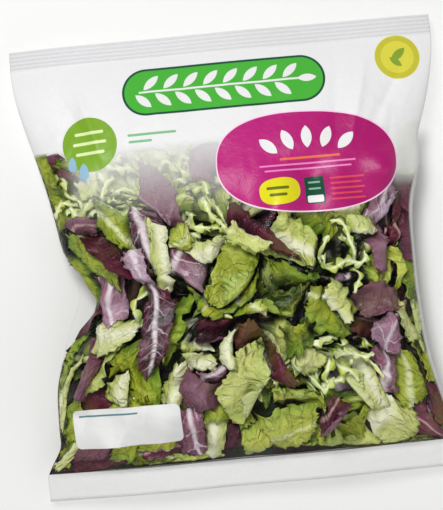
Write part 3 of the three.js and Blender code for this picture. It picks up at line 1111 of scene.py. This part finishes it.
def new_group(name, inputs, outputs):
    """A shader node group with named sockets: each is (name, socket type, default)."""
    tree = bpy.data.node_groups.new(name, "ShaderNodeTree")
    for label, kind, default in inputs:
        socket = tree.interface.new_socket(name=label, in_out="INPUT", socket_type=kind)
        socket.default_value = default
    for label, kind in outputs:
        tree.interface.new_socket(name=label, in_out="OUTPUT", socket_type=kind)
    board = Board(tree)
    return tree, board, board.add("NodeGroupInput").outputs, board.add("NodeGroupOutput").inputs


def leaf_pattern_group():
    """The drawing of any leaf, on its own map: rib, side veins, net of small veins, blotches and height."""
    tree, b, given, out = new_group(
        "leaf pattern",
        [
            ("Rib Width", "NodeSocketFloat", 3.0),
            ("Vein Spacing", "NodeSocketFloat", 9.0),
            ("Vein Width", "NodeSocketFloat", 0.16),
            ("Slant", "NodeSocketFloat", 0.9),
        ],
        [(n, "NodeSocketFloat") for n in ("Rib", "Veins", "Net", "Blotch", "Flush", "Height")],
    )
    facts = b.add("ShaderNodeAttribute", attribute_name="leaf_look")
    rim, _, seed = b.split(facts.outputs["Vector"])
    place = b.surface_map()
    # Each leaf's noise is shifted by its seed. Slow and quick noise bend the lines.
    shifted = b.vector("ADD", place, b.vector("MULTIPLY", b.combine(seed, seed, seed), (971, 517, 0)))
    slow = b.math("SUBTRACT", b.noise(shifted, 0.06, 2), 0.5)
    quick = b.math("SUBTRACT", b.noise(shifted, 0.21, 2), 0.5)
    warp = b.combine(b.math("MULTIPLY", slow, 16.0), b.math("MULTIPLY", quick, 7.0))
    warped = b.vector("ADD", shifted, warp)
    x, y, _ = b.split(place)
    # The rib runs up the middle and tapers. The side veins slant up from it, evenly spaced and bent.
    aside = b.math("ABSOLUTE", b.math("ADD", x, b.math("MULTIPLY", slow, 5.0)))
    taper = b.math("MAXIMUM", 0.18, b.math("SUBTRACT", 1.05, b.math("DIVIDE", y, 85.0)))
    rib = b.ramp(b.math("DIVIDE", aside, b.math("MULTIPLY", given["Rib Width"], taper)), 1.0, 0.1)
    phase = b.math("SUBTRACT", y, b.math("MULTIPLY", aside, given["Slant"]))
    bend = b.math("ADD", b.math("MULTIPLY", slow, 18.0), b.math("MULTIPLY", quick, 5.0))
    phase = b.math("ADD", phase, bend)
    fraction = b.math("FRACT", b.math("DIVIDE", phase, given["Vein Spacing"]))
    off_line = b.math("MULTIPLY", b.math("ABSOLUTE", b.math("SUBTRACT", fraction, 0.5)), 2.0)
    thin = b.math("MULTIPLY", given["Vein Width"], b.math("SUBTRACT", 1.3, rim))
    patchy = b.ramp(b.noise(b.vector("ADD", shifted, (55, 31, 0)), 0.05, 2), 0.38, 0.58, 0.15, 1.0)
    veins = b.math("MULTIPLY", b.ramp(off_line, thin, 0.0), patchy)
    # The net of small veins follows the edges of cells, and the leaf puffs up between them
    coarse = b.cell_edges(warped, 0.15)
    fine = b.cell_edges(warped, 0.4)
    net = b.math("ADD", b.ramp(coarse, 0.1, 0.0, 0.0, 0.6), b.ramp(fine, 0.1, 0.0, 0.0, 0.4), clamp=True)
    puffs = b.math("ADD", b.ramp(coarse, 0.0, 0.4, 0.0, 0.8), b.ramp(fine, 0.0, 0.4, 0.0, 0.12))
    puffs = b.math("ADD", puffs, b.math("MULTIPLY", b.noise(shifted, 0.25, 2), 0.4))
    height = b.math("SUBTRACT", puffs, b.math("MULTIPLY", veins, 0.45))
    for label, value in (("Rib", rib), ("Veins", veins), ("Net", net), ("Height", height)):
        b.feed(out[label], value)
    b.feed(out["Blotch"], b.noise(shifted, 0.05, 4, 0.6))
    b.feed(out["Flush"], b.ramp(b.noise(b.vector("ADD", shifted, (13, 77, 0)), 0.028, 2), 0.5, 0.66))
    return tree


# Painted shade: the near-black colour that leaves are blended to where they lie deep in the gaps
GAP_SHADE = srgb(15, 17, 8)


class LeafFinish(NamedTuple):
    """Screen colours of one kind of leaf beside its main one, and how its pattern is drawn, in millimetres.

    Shares run from 0 to 1, slant is the side veins' rise aside, and pucker is the relief's height in
    metres. Sheen is the colour of the film's painted milky glare, also used for the paler underside of turned
    sides. Deep and light are reached through the leaf's tone and blotches and through painted shade."""

    deep: tuple
    light: tuple
    rim: tuple
    flush: tuple
    vein: tuple
    rib: tuple
    sheen: tuple
    rib_width: float
    rib_share: float
    vein_spacing: float
    vein_width: float
    slant: float
    vein_share: float
    rim_start: float
    pucker: float


FINISHES = {
    "romaine": LeafFinish(
        deep=(48, 66, 8), light=(186, 194, 84), rim=(112, 150, 40), flush=(188, 188, 62),
        vein=(186, 204, 112), rib=(216, 224, 172), sheen=(170, 182, 106), rib_width=3.4, rib_share=0.8,
        vein_spacing=8.5, vein_width=0.2, slant=0.9, vein_share=0.4, rim_start=0.5, pucker=0.0016,
    ),
    "pale": LeafFinish(
        deep=(122, 140, 54), light=(200, 205, 128), rim=(160, 182, 72), flush=(178, 194, 84),
        vein=(230, 234, 184), rib=(226, 228, 196), sheen=(202, 204, 170), rib_width=9.0, rib_share=0.9,
        vein_spacing=11.0, vein_width=0.24, slant=0.75, vein_share=0.5, rim_start=0.6, pucker=0.0012,
    ),
    "curly": LeafFinish(
        deep=(104, 134, 34), light=(210, 216, 126), rim=(136, 170, 52), flush=(226, 230, 176),
        vein=(220, 228, 160), rib=(234, 239, 204), sheen=(208, 217, 154), rib_width=1.6, rib_share=0.9,
        vein_spacing=6.0, vein_width=0.2, slant=1.2, vein_share=0.2, rim_start=0.35, pucker=0.0006,
    ),
    "red": LeafFinish(
        deep=(30, 4, 11), light=(110, 38, 58), rim=(84, 14, 40), flush=(104, 90, 26),
        vein=(140, 66, 92), rib=(196, 156, 150), sheen=(164, 132, 150), rib_width=2.2, rib_share=0.8,
        vein_spacing=10.0, vein_width=0.12, slant=0.9, vein_share=0.35, rim_start=0.3, pucker=0.0011,
    ),
    "veined": LeafFinish(
        deep=(46, 8, 24), light=(136, 54, 84), rim=(88, 12, 42), flush=(206, 178, 190),
        vein=(228, 202, 214), rib=(232, 220, 224), sheen=(184, 168, 190), rib_width=3.8, rib_share=0.9,
        vein_spacing=10.0, vein_width=0.22, slant=0.8, vein_share=0.85, rim_start=0.35, pucker=0.001,
    ),
}


def leaf_material(name, finish, main, pattern):
    """One kind of leaf: deep to light by its tone (partly painted shade), its painted relief light and
    blotches, with its rim, veins, rib, painted sheen and paler turned underside, then painted shade to
    near-black where it lies deep.
    """
    material, b = new_material(f"{name} leaf")
    pattern_values = (finish.rib_width, finish.vein_spacing, finish.vein_width, finish.slant)
    drawn = b.fed("ShaderNodeGroup", pattern_values, node_tree=pattern)
    facts = b.add("ShaderNodeAttribute", attribute_name="leaf_look")
    rim, tone, _ = b.split(facts.outputs["Vector"])
    sheen = facts.outputs["Alpha"]
    # Painted shade in the hollows of each leaf's relief; the tone carries painted shade from depth
    relief_light = b.add("ShaderNodeAttribute", attribute_name="leaf_lift").outputs["Fac"]
    blotch = b.ramp(drawn.outputs["Blotch"], 0.36, 0.62, -0.22, 0.22)
    share = b.math("ADD", blotch, b.math("MULTIPLY", tone, 0.8))
    share = b.math("ADD", share, b.math("MULTIPLY", relief_light, 0.4))
    colour = b.blend(b.ramp(share, 0.0, 0.56), srgb(*finish.deep), main)
    colour = b.blend(b.ramp(share, 0.55, 1.15), colour, srgb(*finish.light))
    net_share = 0.2 * finish.vein_share
    for layer, cover in (
        ("flush", b.math("MULTIPLY", drawn.outputs["Flush"], 0.55)),
        ("rim", b.ramp(rim, finish.rim_start, 1.0, 0.0, 0.6)),
        ("vein", b.math("MULTIPLY", drawn.outputs["Net"], net_share)),
        ("vein", b.math("MULTIPLY", drawn.outputs["Veins"], finish.vein_share)),
        ("rib", b.math("MULTIPLY", drawn.outputs["Rib"], finish.rib_share)),
        # Painted milky sheen of the film, which also shows the paler underside of turned sides
        ("sheen", b.math("MULTIPLY", sheen, 0.8)),
    ):
        colour = b.blend(cover, colour, srgb(*getattr(finish, layer)))
    # Painted shade: leaves that lie deep in the heap go to near-black
    colour = b.blend(b.ramp(share, -0.44, 0.07), GAP_SHADE, colour)
    leaf = b.shader(
        "ShaderNodeBsdfPrincipled",
        Base_Color=colour,
        Roughness=b.ramp(drawn.outputs["Blotch"], 0.3, 0.7, 0.34, 0.5),
        Specular_IOR_Level=0.26,
        Normal=b.bump(drawn.outputs["Height"], finish.pucker, 1.0),
    )
    b.finish(leaf)
    return material


def shaded_core_material():
    """Leaves deep in the heap as a sheet of painted shade: near-black green and wine-red patches that hardly
    shine.
    """
    material, b = new_material("shaded leaves")
    place = b.add("ShaderNodeTexCoord").outputs["Object"]
    patches = b.ramp(b.noise(place, 42.0, 3), 0.45, 0.56)
    green = b.blend(b.noise(place, 160.0, 4), srgb(12, 18, 6), srgb(40, 54, 18))
    shaded = b.shader(
        "ShaderNodeBsdfPrincipled",
        Base_Color=b.blend(patches, green, srgb(28, 8, 14)),
        Roughness=b.ramp(b.noise(place, 90.0, 2), 0.3, 0.7, 0.55, 0.8),
        Normal=b.bump(b.noise(place, 240.0, 4), 0.002, 0.8),
    )
    b.finish(shaded)
    return material


# The print, in millimetres on the front sheet: soft edge of each shape, and the back sheet's shift on the map
EDGE = 0.16
BACK_SHIFT = 400.0
# The panel is a rounded oval: centre, half size, tilt in degrees, and power
PANEL_CENTRE = (48.5, 58.3)
PANEL_HALF = (57.6, 32.2)
PANEL_TILT = -3.0
PANEL_POWER = 2.4
# Places of the other shapes
BADGE_CENTRE = (115.4, 122.3)
DISC_CENTRE = (-89.8, 82.0)
DATE_CENTRE = (-82.2, -101.5)
BANNER_Y = 113.4
SPRIG_PAIRS = 8


class Artist:
    """Draws flat shapes on a board. Each shape is a mask, 1 inside and 0 outside, with a fine soft edge."""

    def __init__(self, board, place, paper, cover):
        """Starts on paper, which covers the film by a mask."""
        self.b = board
        self.place = place
        self.paper = paper
        self.colour = paper
        self.cover = cover

    def frame_at(self, centre, turn):
        """Place measured from a centre, turned."""
        local = self.b.vector("SUBTRACT", self.place, (*centre, 0))
        if not turn:
            return local
        node = self.b.add("ShaderNodeVectorRotate", rotation_type="Z_AXIS")
        self.b.feed(node.inputs["Vector"], local)
        node.inputs["Angle"].default_value = -math.radians(turn)
        return node.outputs[0]

    def mask(self, distance):
        """1 where the distance outside a shape is negative, with a soft edge."""
        return self.b.ramp(distance, EDGE, -EDGE)

    def disc(self, centre, radius, inner=None):
        """A disc, or a ring with an inner radius."""
        away = self.b.vector("LENGTH", self.frame_at(centre, 0))
        outside = self.b.math("SUBTRACT", away, radius)
        if inner is not None:
            outside = self.b.math("MAXIMUM", outside, self.b.math("SUBTRACT", inner, away))
        return self.mask(outside)

    def box(self, centre, size, corner, turn=0.0):
        """A box with rounded corners."""
        local = self.b.vector("ABSOLUTE", self.frame_at(centre, turn))
        beyond = self.b.vector("SUBTRACT", local, (size[0] / 2 - corner, size[1] / 2 - corner, 0))
        beyond = self.b.vector("MAXIMUM", beyond, (0, 0, 0))
        return self.mask(self.b.math("SUBTRACT", self.b.vector("LENGTH", beyond), corner))

    def leaf(self, centre, length, width, turn):
        """The lens where two equal circles cross, its points along the leaf."""
        radius = (length * length + width * width) / (4 * width)
        offset = radius - width / 2
        local = self.frame_at(centre, turn)
        sides = [self.b.vector("DISTANCE", local, (0, sign * offset, 0)) for sign in (-1, 1)]
        return self.mask(self.b.math("SUBTRACT", self.b.math("MAXIMUM", *sides), radius))

    def pebble(self, centre, half, power, turn):
        """A rounded oval: (x / a) to a power plus (y / b) to that power is under 1."""
        local = self.b.vector("ABSOLUTE", self.frame_at(centre, turn))
        x, y, _ = self.b.split(self.b.vector("DIVIDE", local, (*half, 1)))
        total = self.b.math("ADD", self.b.math("POWER", x, power), self.b.math("POWER", y, power))
        reach = self.b.math("POWER", total, 1 / power)
        return self.mask(self.b.math("MULTIPLY", self.b.math("SUBTRACT", reach, 1), half[1]))

    def ink(self, mask, colour, strength=1.0):
        """Prints a shape over what is there."""
        if strength < 1:
            mask = self.b.math("MULTIPLY", mask, strength)
        self.colour = self.b.blend(mask, self.colour, colour)
        self.cover = self.b.math("MAXIMUM", self.cover, mask)


def draw_banner(a, green):
    """Top of the front: a broad green banner with a dark line round it, and a white sprig along it."""
    dark_line = srgb(14, 74, 53)
    a.ink(a.box((0, BANNER_Y), (133, 32), 16), dark_line)
    a.ink(a.box((0, BANNER_Y), (130, 29), 14.5), green)
    a.ink(a.box((-3, BANNER_Y), (105, 1.3), 0.6), a.paper)
    for i in range(SPRIG_PAIRS):
        x = mix(-50, 41, i / (SPRIG_PAIRS - 1))
        for side in (-1, 1):
            a.ink(a.leaf((x + 2.8 * side, BANNER_Y + 6 * side), 13.5, 5.2, 42 * side), a.paper)
    a.ink(a.leaf((54.5, BANNER_Y), 12.5, 5, 0), a.paper)


def draw_panel(a, left):
    """The magenta panel: a pale line round it, and darker to the right, with five white leaves in an arch."""
    right, pale_line = srgb(165, 9, 100), srgb(238, 205, 226)
    x, _, _ = a.b.split(a.place)
    fade = a.b.blend(a.b.ramp(x, -8, 100), left, right)
    for margin, colour in ((0.9, pale_line), (0, fade)):
        half = [h + margin for h in PANEL_HALF]
        a.ink(a.pebble(PANEL_CENTRE, half, PANEL_POWER, PANEL_TILT), colour)
    for i in range(5):
        a.ink(a.leaf((24.5 + 12.5 * i, 74 - 1.1 * (i - 2) ** 2), 14.5, 6.8, 138 - 24 * i), a.paper)


def draw_panel_bars(a):
    """On the panel: bars for small lines, a yellow patch with two bars, and a small green table."""
    orange, pink, rose = srgb(226, 108, 70), srgb(226, 130, 190), srgb(216, 70, 82)
    yellow, olive = srgb(222, 214, 14), srgb(96, 110, 20)
    dark_green, mint = srgb(8, 70, 48), srgb(130, 176, 158)
    a.ink(a.box((50.5, 60.5), (38.8, 1.5), 0.7), orange)
    for i in range(2):
        a.ink(a.box((48.6, 56.7 - 3.3 * i), (62 - 6 * i, 1.1), 0.5), pink)
    a.ink(a.pebble((29, 40.2), (13, 8.5), 2.6, 4), yellow)
    for i in range(2):
        a.ink(a.box((27.8, 42.2 - 4.3 * i), (14.5 - 3 * i, 1.9), 0.9), olive)
    a.ink(a.box((51.5, 39.1), (12.6, 17.5), 1.6), dark_green)
    a.ink(a.box((51.5, 33.4), (10.3, 4.5), 1.0), a.paper)
    for i in range(2):
        a.ink(a.box((51.5, 44.1 - 4.1 * i), (7.8, 1.2), 0.5), mint)
    for i in range(5):
        a.ink(a.box((72.8 - i % 2, 45.8 - 3.4 * i), (22.3 - 2 * (i % 2), 1.2), 0.5), rose)


def draw_badges(a):
    """The round mark at the right, the light green disc with two drops at the left, and bars beside it."""
    straw, dark_straw, leaf_green = srgb(212, 205, 66), srgb(190, 185, 54), srgb(128, 156, 48)
    disc_green, pale_green = srgb(120, 163, 36), srgb(214, 232, 170)
    water, soft_green = srgb(144, 182, 205), srgb(124, 182, 134)
    x, y = BADGE_CENTRE
    a.ink(a.disc(BADGE_CENTRE, 15.0), straw)
    a.ink(a.disc(BADGE_CENTRE, 14.6, 11.0), dark_straw)
    a.ink(a.leaf((x + 0.6, y + 1.6), 13, 5.4, 40), leaf_green)
    a.ink(a.leaf((x - 1.4, y - 3.2), 10, 4.2, 140), leaf_green)
    x, y = DISC_CENTRE
    a.ink(a.disc(DISC_CENTRE, 17.9), disc_green)
    for i in range(3):
        a.ink(a.box((x, y + 7.6 - 6.6 * i), (22 - 3 * abs(i - 1), 2.0), 1.0, 3), pale_green)
    for x, y, size in ((-102.1, 68.1, 3.8), (-94.7, 62.3, 4.4)):
        a.ink(a.leaf((x, y + 0.55 * size), 2.5 * size, 1.3 * size, 90), water)
        a.ink(a.disc((x, y), 0.72 * size), water)
    for i, (x, width) in enumerate(((-49.0, 31.5), (-56.7, 15.2))):
        a.ink(a.box((x, 85.3 - 4.4 * i), (width, 1.7), 0.8), soft_green)


def draw_date_box(a):
    """The white box for a date near the bottom, with one fine grey bar, both turned a little."""
    x, y = DATE_CENTRE
    white, grey = srgb(229, 229, 228), srgb(92, 130, 134)
    a.ink(a.box(DATE_CENTRE, (70.8, 26), 3.6, 0.7), white)
    a.ink(a.box((x - 11.9, y + 8.6), (39, 1.2), 0.4, 0.7), grey)


def print_cover(b, x, y):
    """How far the ground of the print hides the leaves, before any shape.

    A veil thickens upwards to solid white at the top of the front, but not at its left side fold. A strip at
    the right fold comes lower down, and so does the back, which lies to the right of the front on the map."""
    off_left = b.ramp(x, -112, -92)
    solid = b.ramp(y, b.math("SUBTRACT", 77.0, b.math("MULTIPLY", off_left, 13.0)), 81.0)
    veil = b.math("MULTIPLY", b.ramp(y, 24.0, 84.0, 0.0, 0.74), off_left)
    back = b.math("MULTIPLY", b.ramp(x, 180, 200), b.ramp(y, 36, 40))
    right_strip = b.math("MULTIPLY", b.ramp(x, 98, 106), b.ramp(x, 200, 180))
    low_edge = b.ramp(y, 34, 50, 0, 0.88)
    cover = b.math("MAXIMUM", b.math("MAXIMUM", veil, solid), b.math("MULTIPLY", right_strip, low_edge))
    return b.math("MAXIMUM", cover, back)


def draw_seals(a, y):
    """Both seals in plain light grey, the top one with painted shade in the grooves between its ridges."""
    bottom_grey, top_grey, groove_shade_grey = srgb(224, 224, 223), srgb(217, 217, 218), srgb(186, 186, 188)
    b = a.b
    a.ink(b.ramp(y, BODY_LOW + 1.8, BODY_LOW + 1.2), bottom_grey)
    top = b.ramp(y, BODY_HIGH - 1.5, BODY_HIGH + 0.5)
    a.ink(top, top_grey)
    # Painted shade in the grooves between the crimp ridges
    groove = b.math("COSINE", b.math("MULTIPLY", b.math("SUBTRACT", y, BODY_HIGH), 2 * math.pi / CRIMP_PITCH))
    a.ink(b.math("MULTIPLY", top, b.ramp(groove, -0.3, -1.0)), groove_shade_grey, 0.6)


def print_group(colours):
    """The whole print: ink colour and how far it covers, from the film's map."""
    sockets = [("Colour", "NodeSocketColor"), ("Cover", "NodeSocketFloat")]
    tree, b, _, out = new_group("bag print", [], sockets)
    place = b.surface_map()
    x, y, _ = b.split(place)
    a = Artist(b, place, tuple(colours.paper), print_cover(b, x, y))
    draw_seals(a, y)
    draw_banner(a, tuple(colours.banner))
    draw_panel(a, tuple(colours.panel))
    draw_panel_bars(a)
    draw_badges(a)
    draw_date_box(a)
    b.feed(out["Colour"], a.colour)
    b.feed(out["Cover"], a.cover)
    return tree


def film_material(settings, colours):
    """Clear film: ink where the print covers it, a painted white glare along the right fold, and a faint haze
    elsewhere.

    The gloss rises at grazing angles. Part of the light passes through the ink to the leaves behind it."""
    material, b = new_material("printed film")
    printed = b.add("ShaderNodeGroup", node_tree=print_group(colours))
    place = b.surface_map()
    crinkle = b.math("ADD", b.noise(place, 0.16, 4, 0.55), b.math("MULTIPLY", b.noise(place, 0.7, 2), 0.15))
    normal = b.bump(crinkle, 0.0016, 0.35)
    side = b.add("ShaderNodeAttribute", attribute_name="film_side").outputs["Fac"]
    # Painted glare: paper white laid over the film along its right fold
    haze = b.ramp(side, 0.966, 0.986, settings.haze, settings.fold_glare)
    cover = b.math("MAXIMUM", printed.outputs["Cover"], haze)
    ink = b.shader(
        "ShaderNodeBsdfPrincipled",
        Base_Color=printed.outputs["Colour"],
        Roughness=0.42,
        Specular_IOR_Level=0.3,
        Normal=normal,
    )
    shadow = b.add("ShaderNodeLightPath").outputs["Is Shadow Ray"]
    passing = b.math("SUBTRACT", 1.0, b.math("MULTIPLY", shadow, settings.ink_glow))
    clear = b.shader("ShaderNodeBsdfTransparent")
    sheet = b.fed("ShaderNodeMixShader", (b.math("MULTIPLY", cover, passing), clear, ink))
    rough = settings.gloss_roughness
    roughness = b.ramp(cover, 0.0, 1.0, rough, rough + 0.25)
    gloss = b.shader("ShaderNodeBsdfGlossy", Roughness=roughness, Normal=normal)
    facing = b.add("ShaderNodeLayerWeight").outputs["Facing"]
    shine = b.math("ADD", b.math("MULTIPLY", b.math("POWER", facing, 7.0), 0.5), settings.shine)
    b.finish(b.fed("ShaderNodeMixShader", (shine, sheet.outputs[0], gloss)).outputs[0])
    return material


class SaladFilmSettings(bpy.types.PropertyGroup):
    """The film."""

    gloss_roughness: bpy.props.FloatProperty(
        name="Gloss roughness", description="Roughness of the film's reflections", default=0.13, min=0, max=1
    )
    shine: bpy.props.FloatProperty(
        name="Shine", description="Share of light that the film reflects", default=0.005, min=0, max=1
    )
    haze: bpy.props.FloatProperty(
        name="Haze", description="How milky the clear film is", default=0.001, min=0, max=1
    )
    ink_glow: bpy.props.FloatProperty(
        name="Ink glow", description="Share of light that passes through the ink", default=0.85, min=0, max=1
    )
    # Painted glare along the right fold, drawn as white over the film
    fold_glare: bpy.props.FloatProperty(
        name="Fold haze", description="How milky the film is at its right fold", default=0.75, min=0, max=1
    )


class SaladHeapSettings(bpy.types.PropertyGroup):
    """The leaves."""

    seed: bpy.props.IntProperty(name="Seed", description="Draws the leaves' shapes and turns", default=4)
    fill_front: bpy.props.IntProperty(
        name="Front leaves", description="Leaves under the chosen ones, towards the front", default=95, min=0
    )
    fill_back: bpy.props.IntProperty(
        name="Back leaves", description="Leaves towards the back", default=60, min=0
    )


def colour_property(name, description, default):
    """A colour that a user may change."""
    return bpy.props.FloatVectorProperty(
        name=name, description=description, default=default, size=4, subtype="COLOR", min=0, max=1
    )


class SaladColourSettings(bpy.types.PropertyGroup):
    """The main colours of leaves and print."""

    romaine: colour_property("Green leaves", "Main colour of the crinkled green leaves", srgb(142, 154, 22))
    pale: colour_property("Pale leaves", "Main colour of the pale inner leaves", srgb(190, 196, 100))
    curly: colour_property("Curly leaves", "Main colour of the curly strands", srgb(190, 200, 78))
    red: colour_property("Red leaves", "Main colour of the smooth red leaves", srgb(80, 15, 34))
    veined: colour_property("Veined leaves", "Main colour of red leaves with white veins", srgb(92, 16, 44))
    banner: colour_property("Banner", "Green of the banner", srgb(68, 170, 52))
    panel: colour_property("Panel", "Pink of the panel's left side", srgb(181, 22, 117))
    paper: colour_property("White", "White of the printed parts", srgb(226, 226, 226))


class SaladStageSettings(bpy.types.PropertyGroup):
    """The floor, lights and camera."""

    lens: bpy.props.FloatProperty(name="Lens", description="Focal length in mm", default=85.0, min=1)
    view_height: bpy.props.FloatProperty(
        name="Seen height", description="Height that the picture shows", default=0.3281, unit="LENGTH"
    )
    roll: bpy.props.FloatProperty(
        name="Roll", description="Turn of the picture", default=math.radians(-5.3), subtype="ANGLE"
    )
    floor_colour: colour_property("Floor", "Colour of the floor", srgb(232, 232, 231))


class SALAD_OT_film(bpy.types.Operator):
    """Makes the film with its seals, creases and print"""

    bl_idname = "salad.film"
    bl_label = "Film"

    def execute(self, context):
        """Builds the film's mesh and prints it."""
        rows = film_rows()
        points = film_loop(FILM_COLUMNS, rows, fine_creases(FINE_SEED), fine_creases(FINE_SEED + 1))
        ring = points.shape[1]
        place = points[..., :2].copy()
        place[:, ring // 2 :, 0] += BACK_SHIFT
        faces = closed_loop_faces(len(rows), ring)
        across = across_shares(FILM_COLUMNS)[0]
        side = np.tile(np.concatenate([across, across[::-1]]), len(rows))
        film = add_mesh("film", points.reshape(-1, 3), faces, place.reshape(-1, 2), film_side=side)
        place_piece(film, film_material(context.scene.salad_film, context.scene.salad_colours))
        return {"FINISHED"}


class SALAD_OT_heap(bpy.types.Operator):
    """Lays the leaves, one piece for each kind, and the shaded leaves under them"""

    bl_idname = "salad.heap"
    bl_label = "Leaves"

    def execute(self, context):
        """Builds one mesh for each kind from all its leaves, then the core."""
        settings = context.scene.salad_heap
        surface, heap = lay_heap(settings.seed, settings.fill_front, settings.fill_back)
        pattern = leaf_pattern_group()
        for name, kind in KINDS.items():
            shapes, points, flat, look, relief_light = zip(*heap[name], strict=True)
            starts = np.cumsum([0] + [len(part) for part in points[:-1]])
            faces = [thin_solid_faces(*shape) + start for shape, start in zip(shapes, starts, strict=True)]
            parts = [np.concatenate(part) for part in (points, faces, flat)]
            look, relief_light = np.concatenate(look), np.concatenate(relief_light)
            piece = add_mesh(f"{name}_leaves", *parts, leaf_look=look, leaf_lift=relief_light)
            main = tuple(getattr(context.scene.salad_colours, name))
            place_piece(piece, leaf_material(name, FINISHES[name], main, pattern))
        self.add_core(surface)
        return {"FINISHED"}

    def add_core(self, surface):
        """The shaded leaves, a dark sheet of painted shade: the film's form, sunk below every leaf laid, with
        soft lumps.
        """
        top = surface.row_of(CORE_HIGH)
        rows = np.linspace(0.3, top, CORE_ROWS)
        columns = np.arange(0, surface.ring, 2.0)
        row, column = (grid.ravel() for grid in np.meshgrid(rows, columns, indexing="ij"))
        column = hold_off_flap(np.interp(row, np.arange(LAY_ROWS), surface.rows_y), column, surface.ring)
        cell_row, cell_column = surface.cells(row, column)
        filled = np.maximum(surface.filled[cell_row, cell_column], CORE_LEAST_DEPTH)
        depth = relax(filled.reshape(len(rows), len(columns)), 8).ravel() + CORE_GAP
        points = surface.at(row, column, depth)
        faces = closed_loop_faces(len(rows), len(columns))
        core = add_mesh("leaf_core", points, faces, points[:, :2])
        place_piece(core, shaded_core_material())


class SALAD_OT_stage(bpy.types.Operator):
    """Sets the floor, the lights and the camera"""

    bl_idname = "salad.stage"
    bl_label = "Stage"

    def execute(self, context):
        """Adds them in turn."""
        settings = context.scene.salad_stage
        add_floor(settings)
        add_lights(context.scene)
        add_camera(context.scene, settings)
        return {"FINISHED"}


# The stage, in metres. Each light has its name, place, size and power in watts.
FLOOR_REACH = 3.0
FLOOR_HEIGHT = -0.0004
SURROUND_STRENGTH = 0.26
LIGHTS = (
    ("key", (-0.25, 0.55, 1.3), 0.5, 16.0),
    ("fill", (1.0, -0.3, 0.9), 1.0, 3.0),
    ("front", (-0.2, -1.2, 0.75), 0.8, 3.5),
)
LIT_POINT = (0, 0, 0.03)
SENSOR_HEIGHT_MM = 24.0
SEEN_PLANE = 0.05


def add_floor(settings):
    """A large plain square just under the bag."""
    mesh = bpy.data.meshes.new("floor")
    signs = ((-1, -1), (1, -1), (1, 1), (-1, 1))
    corners = [(x * FLOOR_REACH, y * FLOOR_REACH, FLOOR_HEIGHT) for x, y in signs]
    mesh.from_pydata(corners, [], [(0, 1, 2, 3)])
    floor = bpy.data.objects.new("floor", mesh)
    bpy.context.scene.collection.objects.link(floor)
    material, b = new_material("floor")
    b.finish(b.shader("ShaderNodeBsdfPrincipled", Base_Color=settings.floor_colour, Roughness=0.7))
    mesh.materials.append(material)


def add_lights(scene):
    """A soft key from above the top seal, weaker lights from the right and the foot, and a pale surround."""
    world = bpy.data.worlds.new("surround")
    world.use_nodes = True
    background = world.node_tree.nodes["Background"]
    background.inputs["Color"].default_value = (1.0, 1.0, 1.0, 1)
    background.inputs["Strength"].default_value = SURROUND_STRENGTH
    scene.world = world
    for name, place, size, power in LIGHTS:
        light = bpy.data.lights.new(name, "AREA")
        light.energy = power
        light.size = size
        lamp = bpy.data.objects.new(name, light)
        lamp.location = place
        aim(lamp, LIT_POINT)
        scene.collection.objects.link(lamp)


def aim(thing, target):
    """Turns a lamp or camera so that its -Z axis points at a target."""
    way = Vector(target) - Vector(thing.location)
    thing.rotation_euler = way.to_track_quat("-Z", "Y").to_euler()


def add_camera(scene, settings):
    """Straight above the front, rolled as the picture is, and centred where the picture is on the bag.

    The seen height holds on a plane about halfway up the front."""
    camera = bpy.data.cameras.new("camera")
    camera.lens = settings.lens
    camera.sensor_fit = "VERTICAL"
    camera.sensor_height = SENSOR_HEIGHT_MM
    distance = settings.view_height * settings.lens / camera.sensor_height
    lens_object = bpy.data.objects.new("camera", camera)
    right, up = (MM * part for part in VIEW_CENTRE)
    turn = settings.roll
    x = right * math.cos(turn) - up * math.sin(turn)
    y = right * math.sin(turn) + up * math.cos(turn)
    lens_object.location = (x, y, SEEN_PLANE + distance)
    lens_object.rotation_euler = (0, 0, turn)
    scene.collection.objects.link(lens_object)
    scene.camera = lens_object
    scene.view_settings.view_transform = "Standard"


class SALAD_PT_panel(bpy.types.Panel):
    """Lists the pieces in the sidebar"""

    bl_idname = "SALAD_PT_panel"
    bl_label = "Bag of salad leaves"
    bl_space_type = "VIEW_3D"
    bl_region_type = "UI"
    bl_category = "Salad"

    def draw(self, context):
        """A button for each operator, then every setting."""
        for operator in OPERATORS:
            self.layout.operator(operator.bl_idname)
        for group in SETTINGS:
            settings = getattr(context.scene, group)
            for name in type(settings).__annotations__:
                self.layout.prop(settings, name)


OPERATORS = (SALAD_OT_film, SALAD_OT_heap, SALAD_OT_stage)
SETTINGS = {
    "salad_film": SaladFilmSettings,
    "salad_heap": SaladHeapSettings,
    "salad_colours": SaladColourSettings,
    "salad_stage": SaladStageSettings,
}
CLASSES = (*SETTINGS.values(), *OPERATORS, SALAD_PT_panel)


def register():
    """Registers the classes, and puts each group of settings on the scene."""
    for cls in CLASSES:
        bpy.utils.register_class(cls)
    for name, cls in SETTINGS.items():
        setattr(bpy.types.Scene, name, bpy.props.PointerProperty(type=cls))


def unregister():
    """Takes the settings and classes away again."""
    for name in SETTINGS:
        delattr(bpy.types.Scene, name)
    for cls in reversed(CLASSES):
        bpy.utils.unregister_class(cls)


def main():
    register()
    bpy.ops.salad.film()
    bpy.ops.salad.heap()
    bpy.ops.salad.stage()
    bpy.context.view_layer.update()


if __name__ == "__main__":
    main()
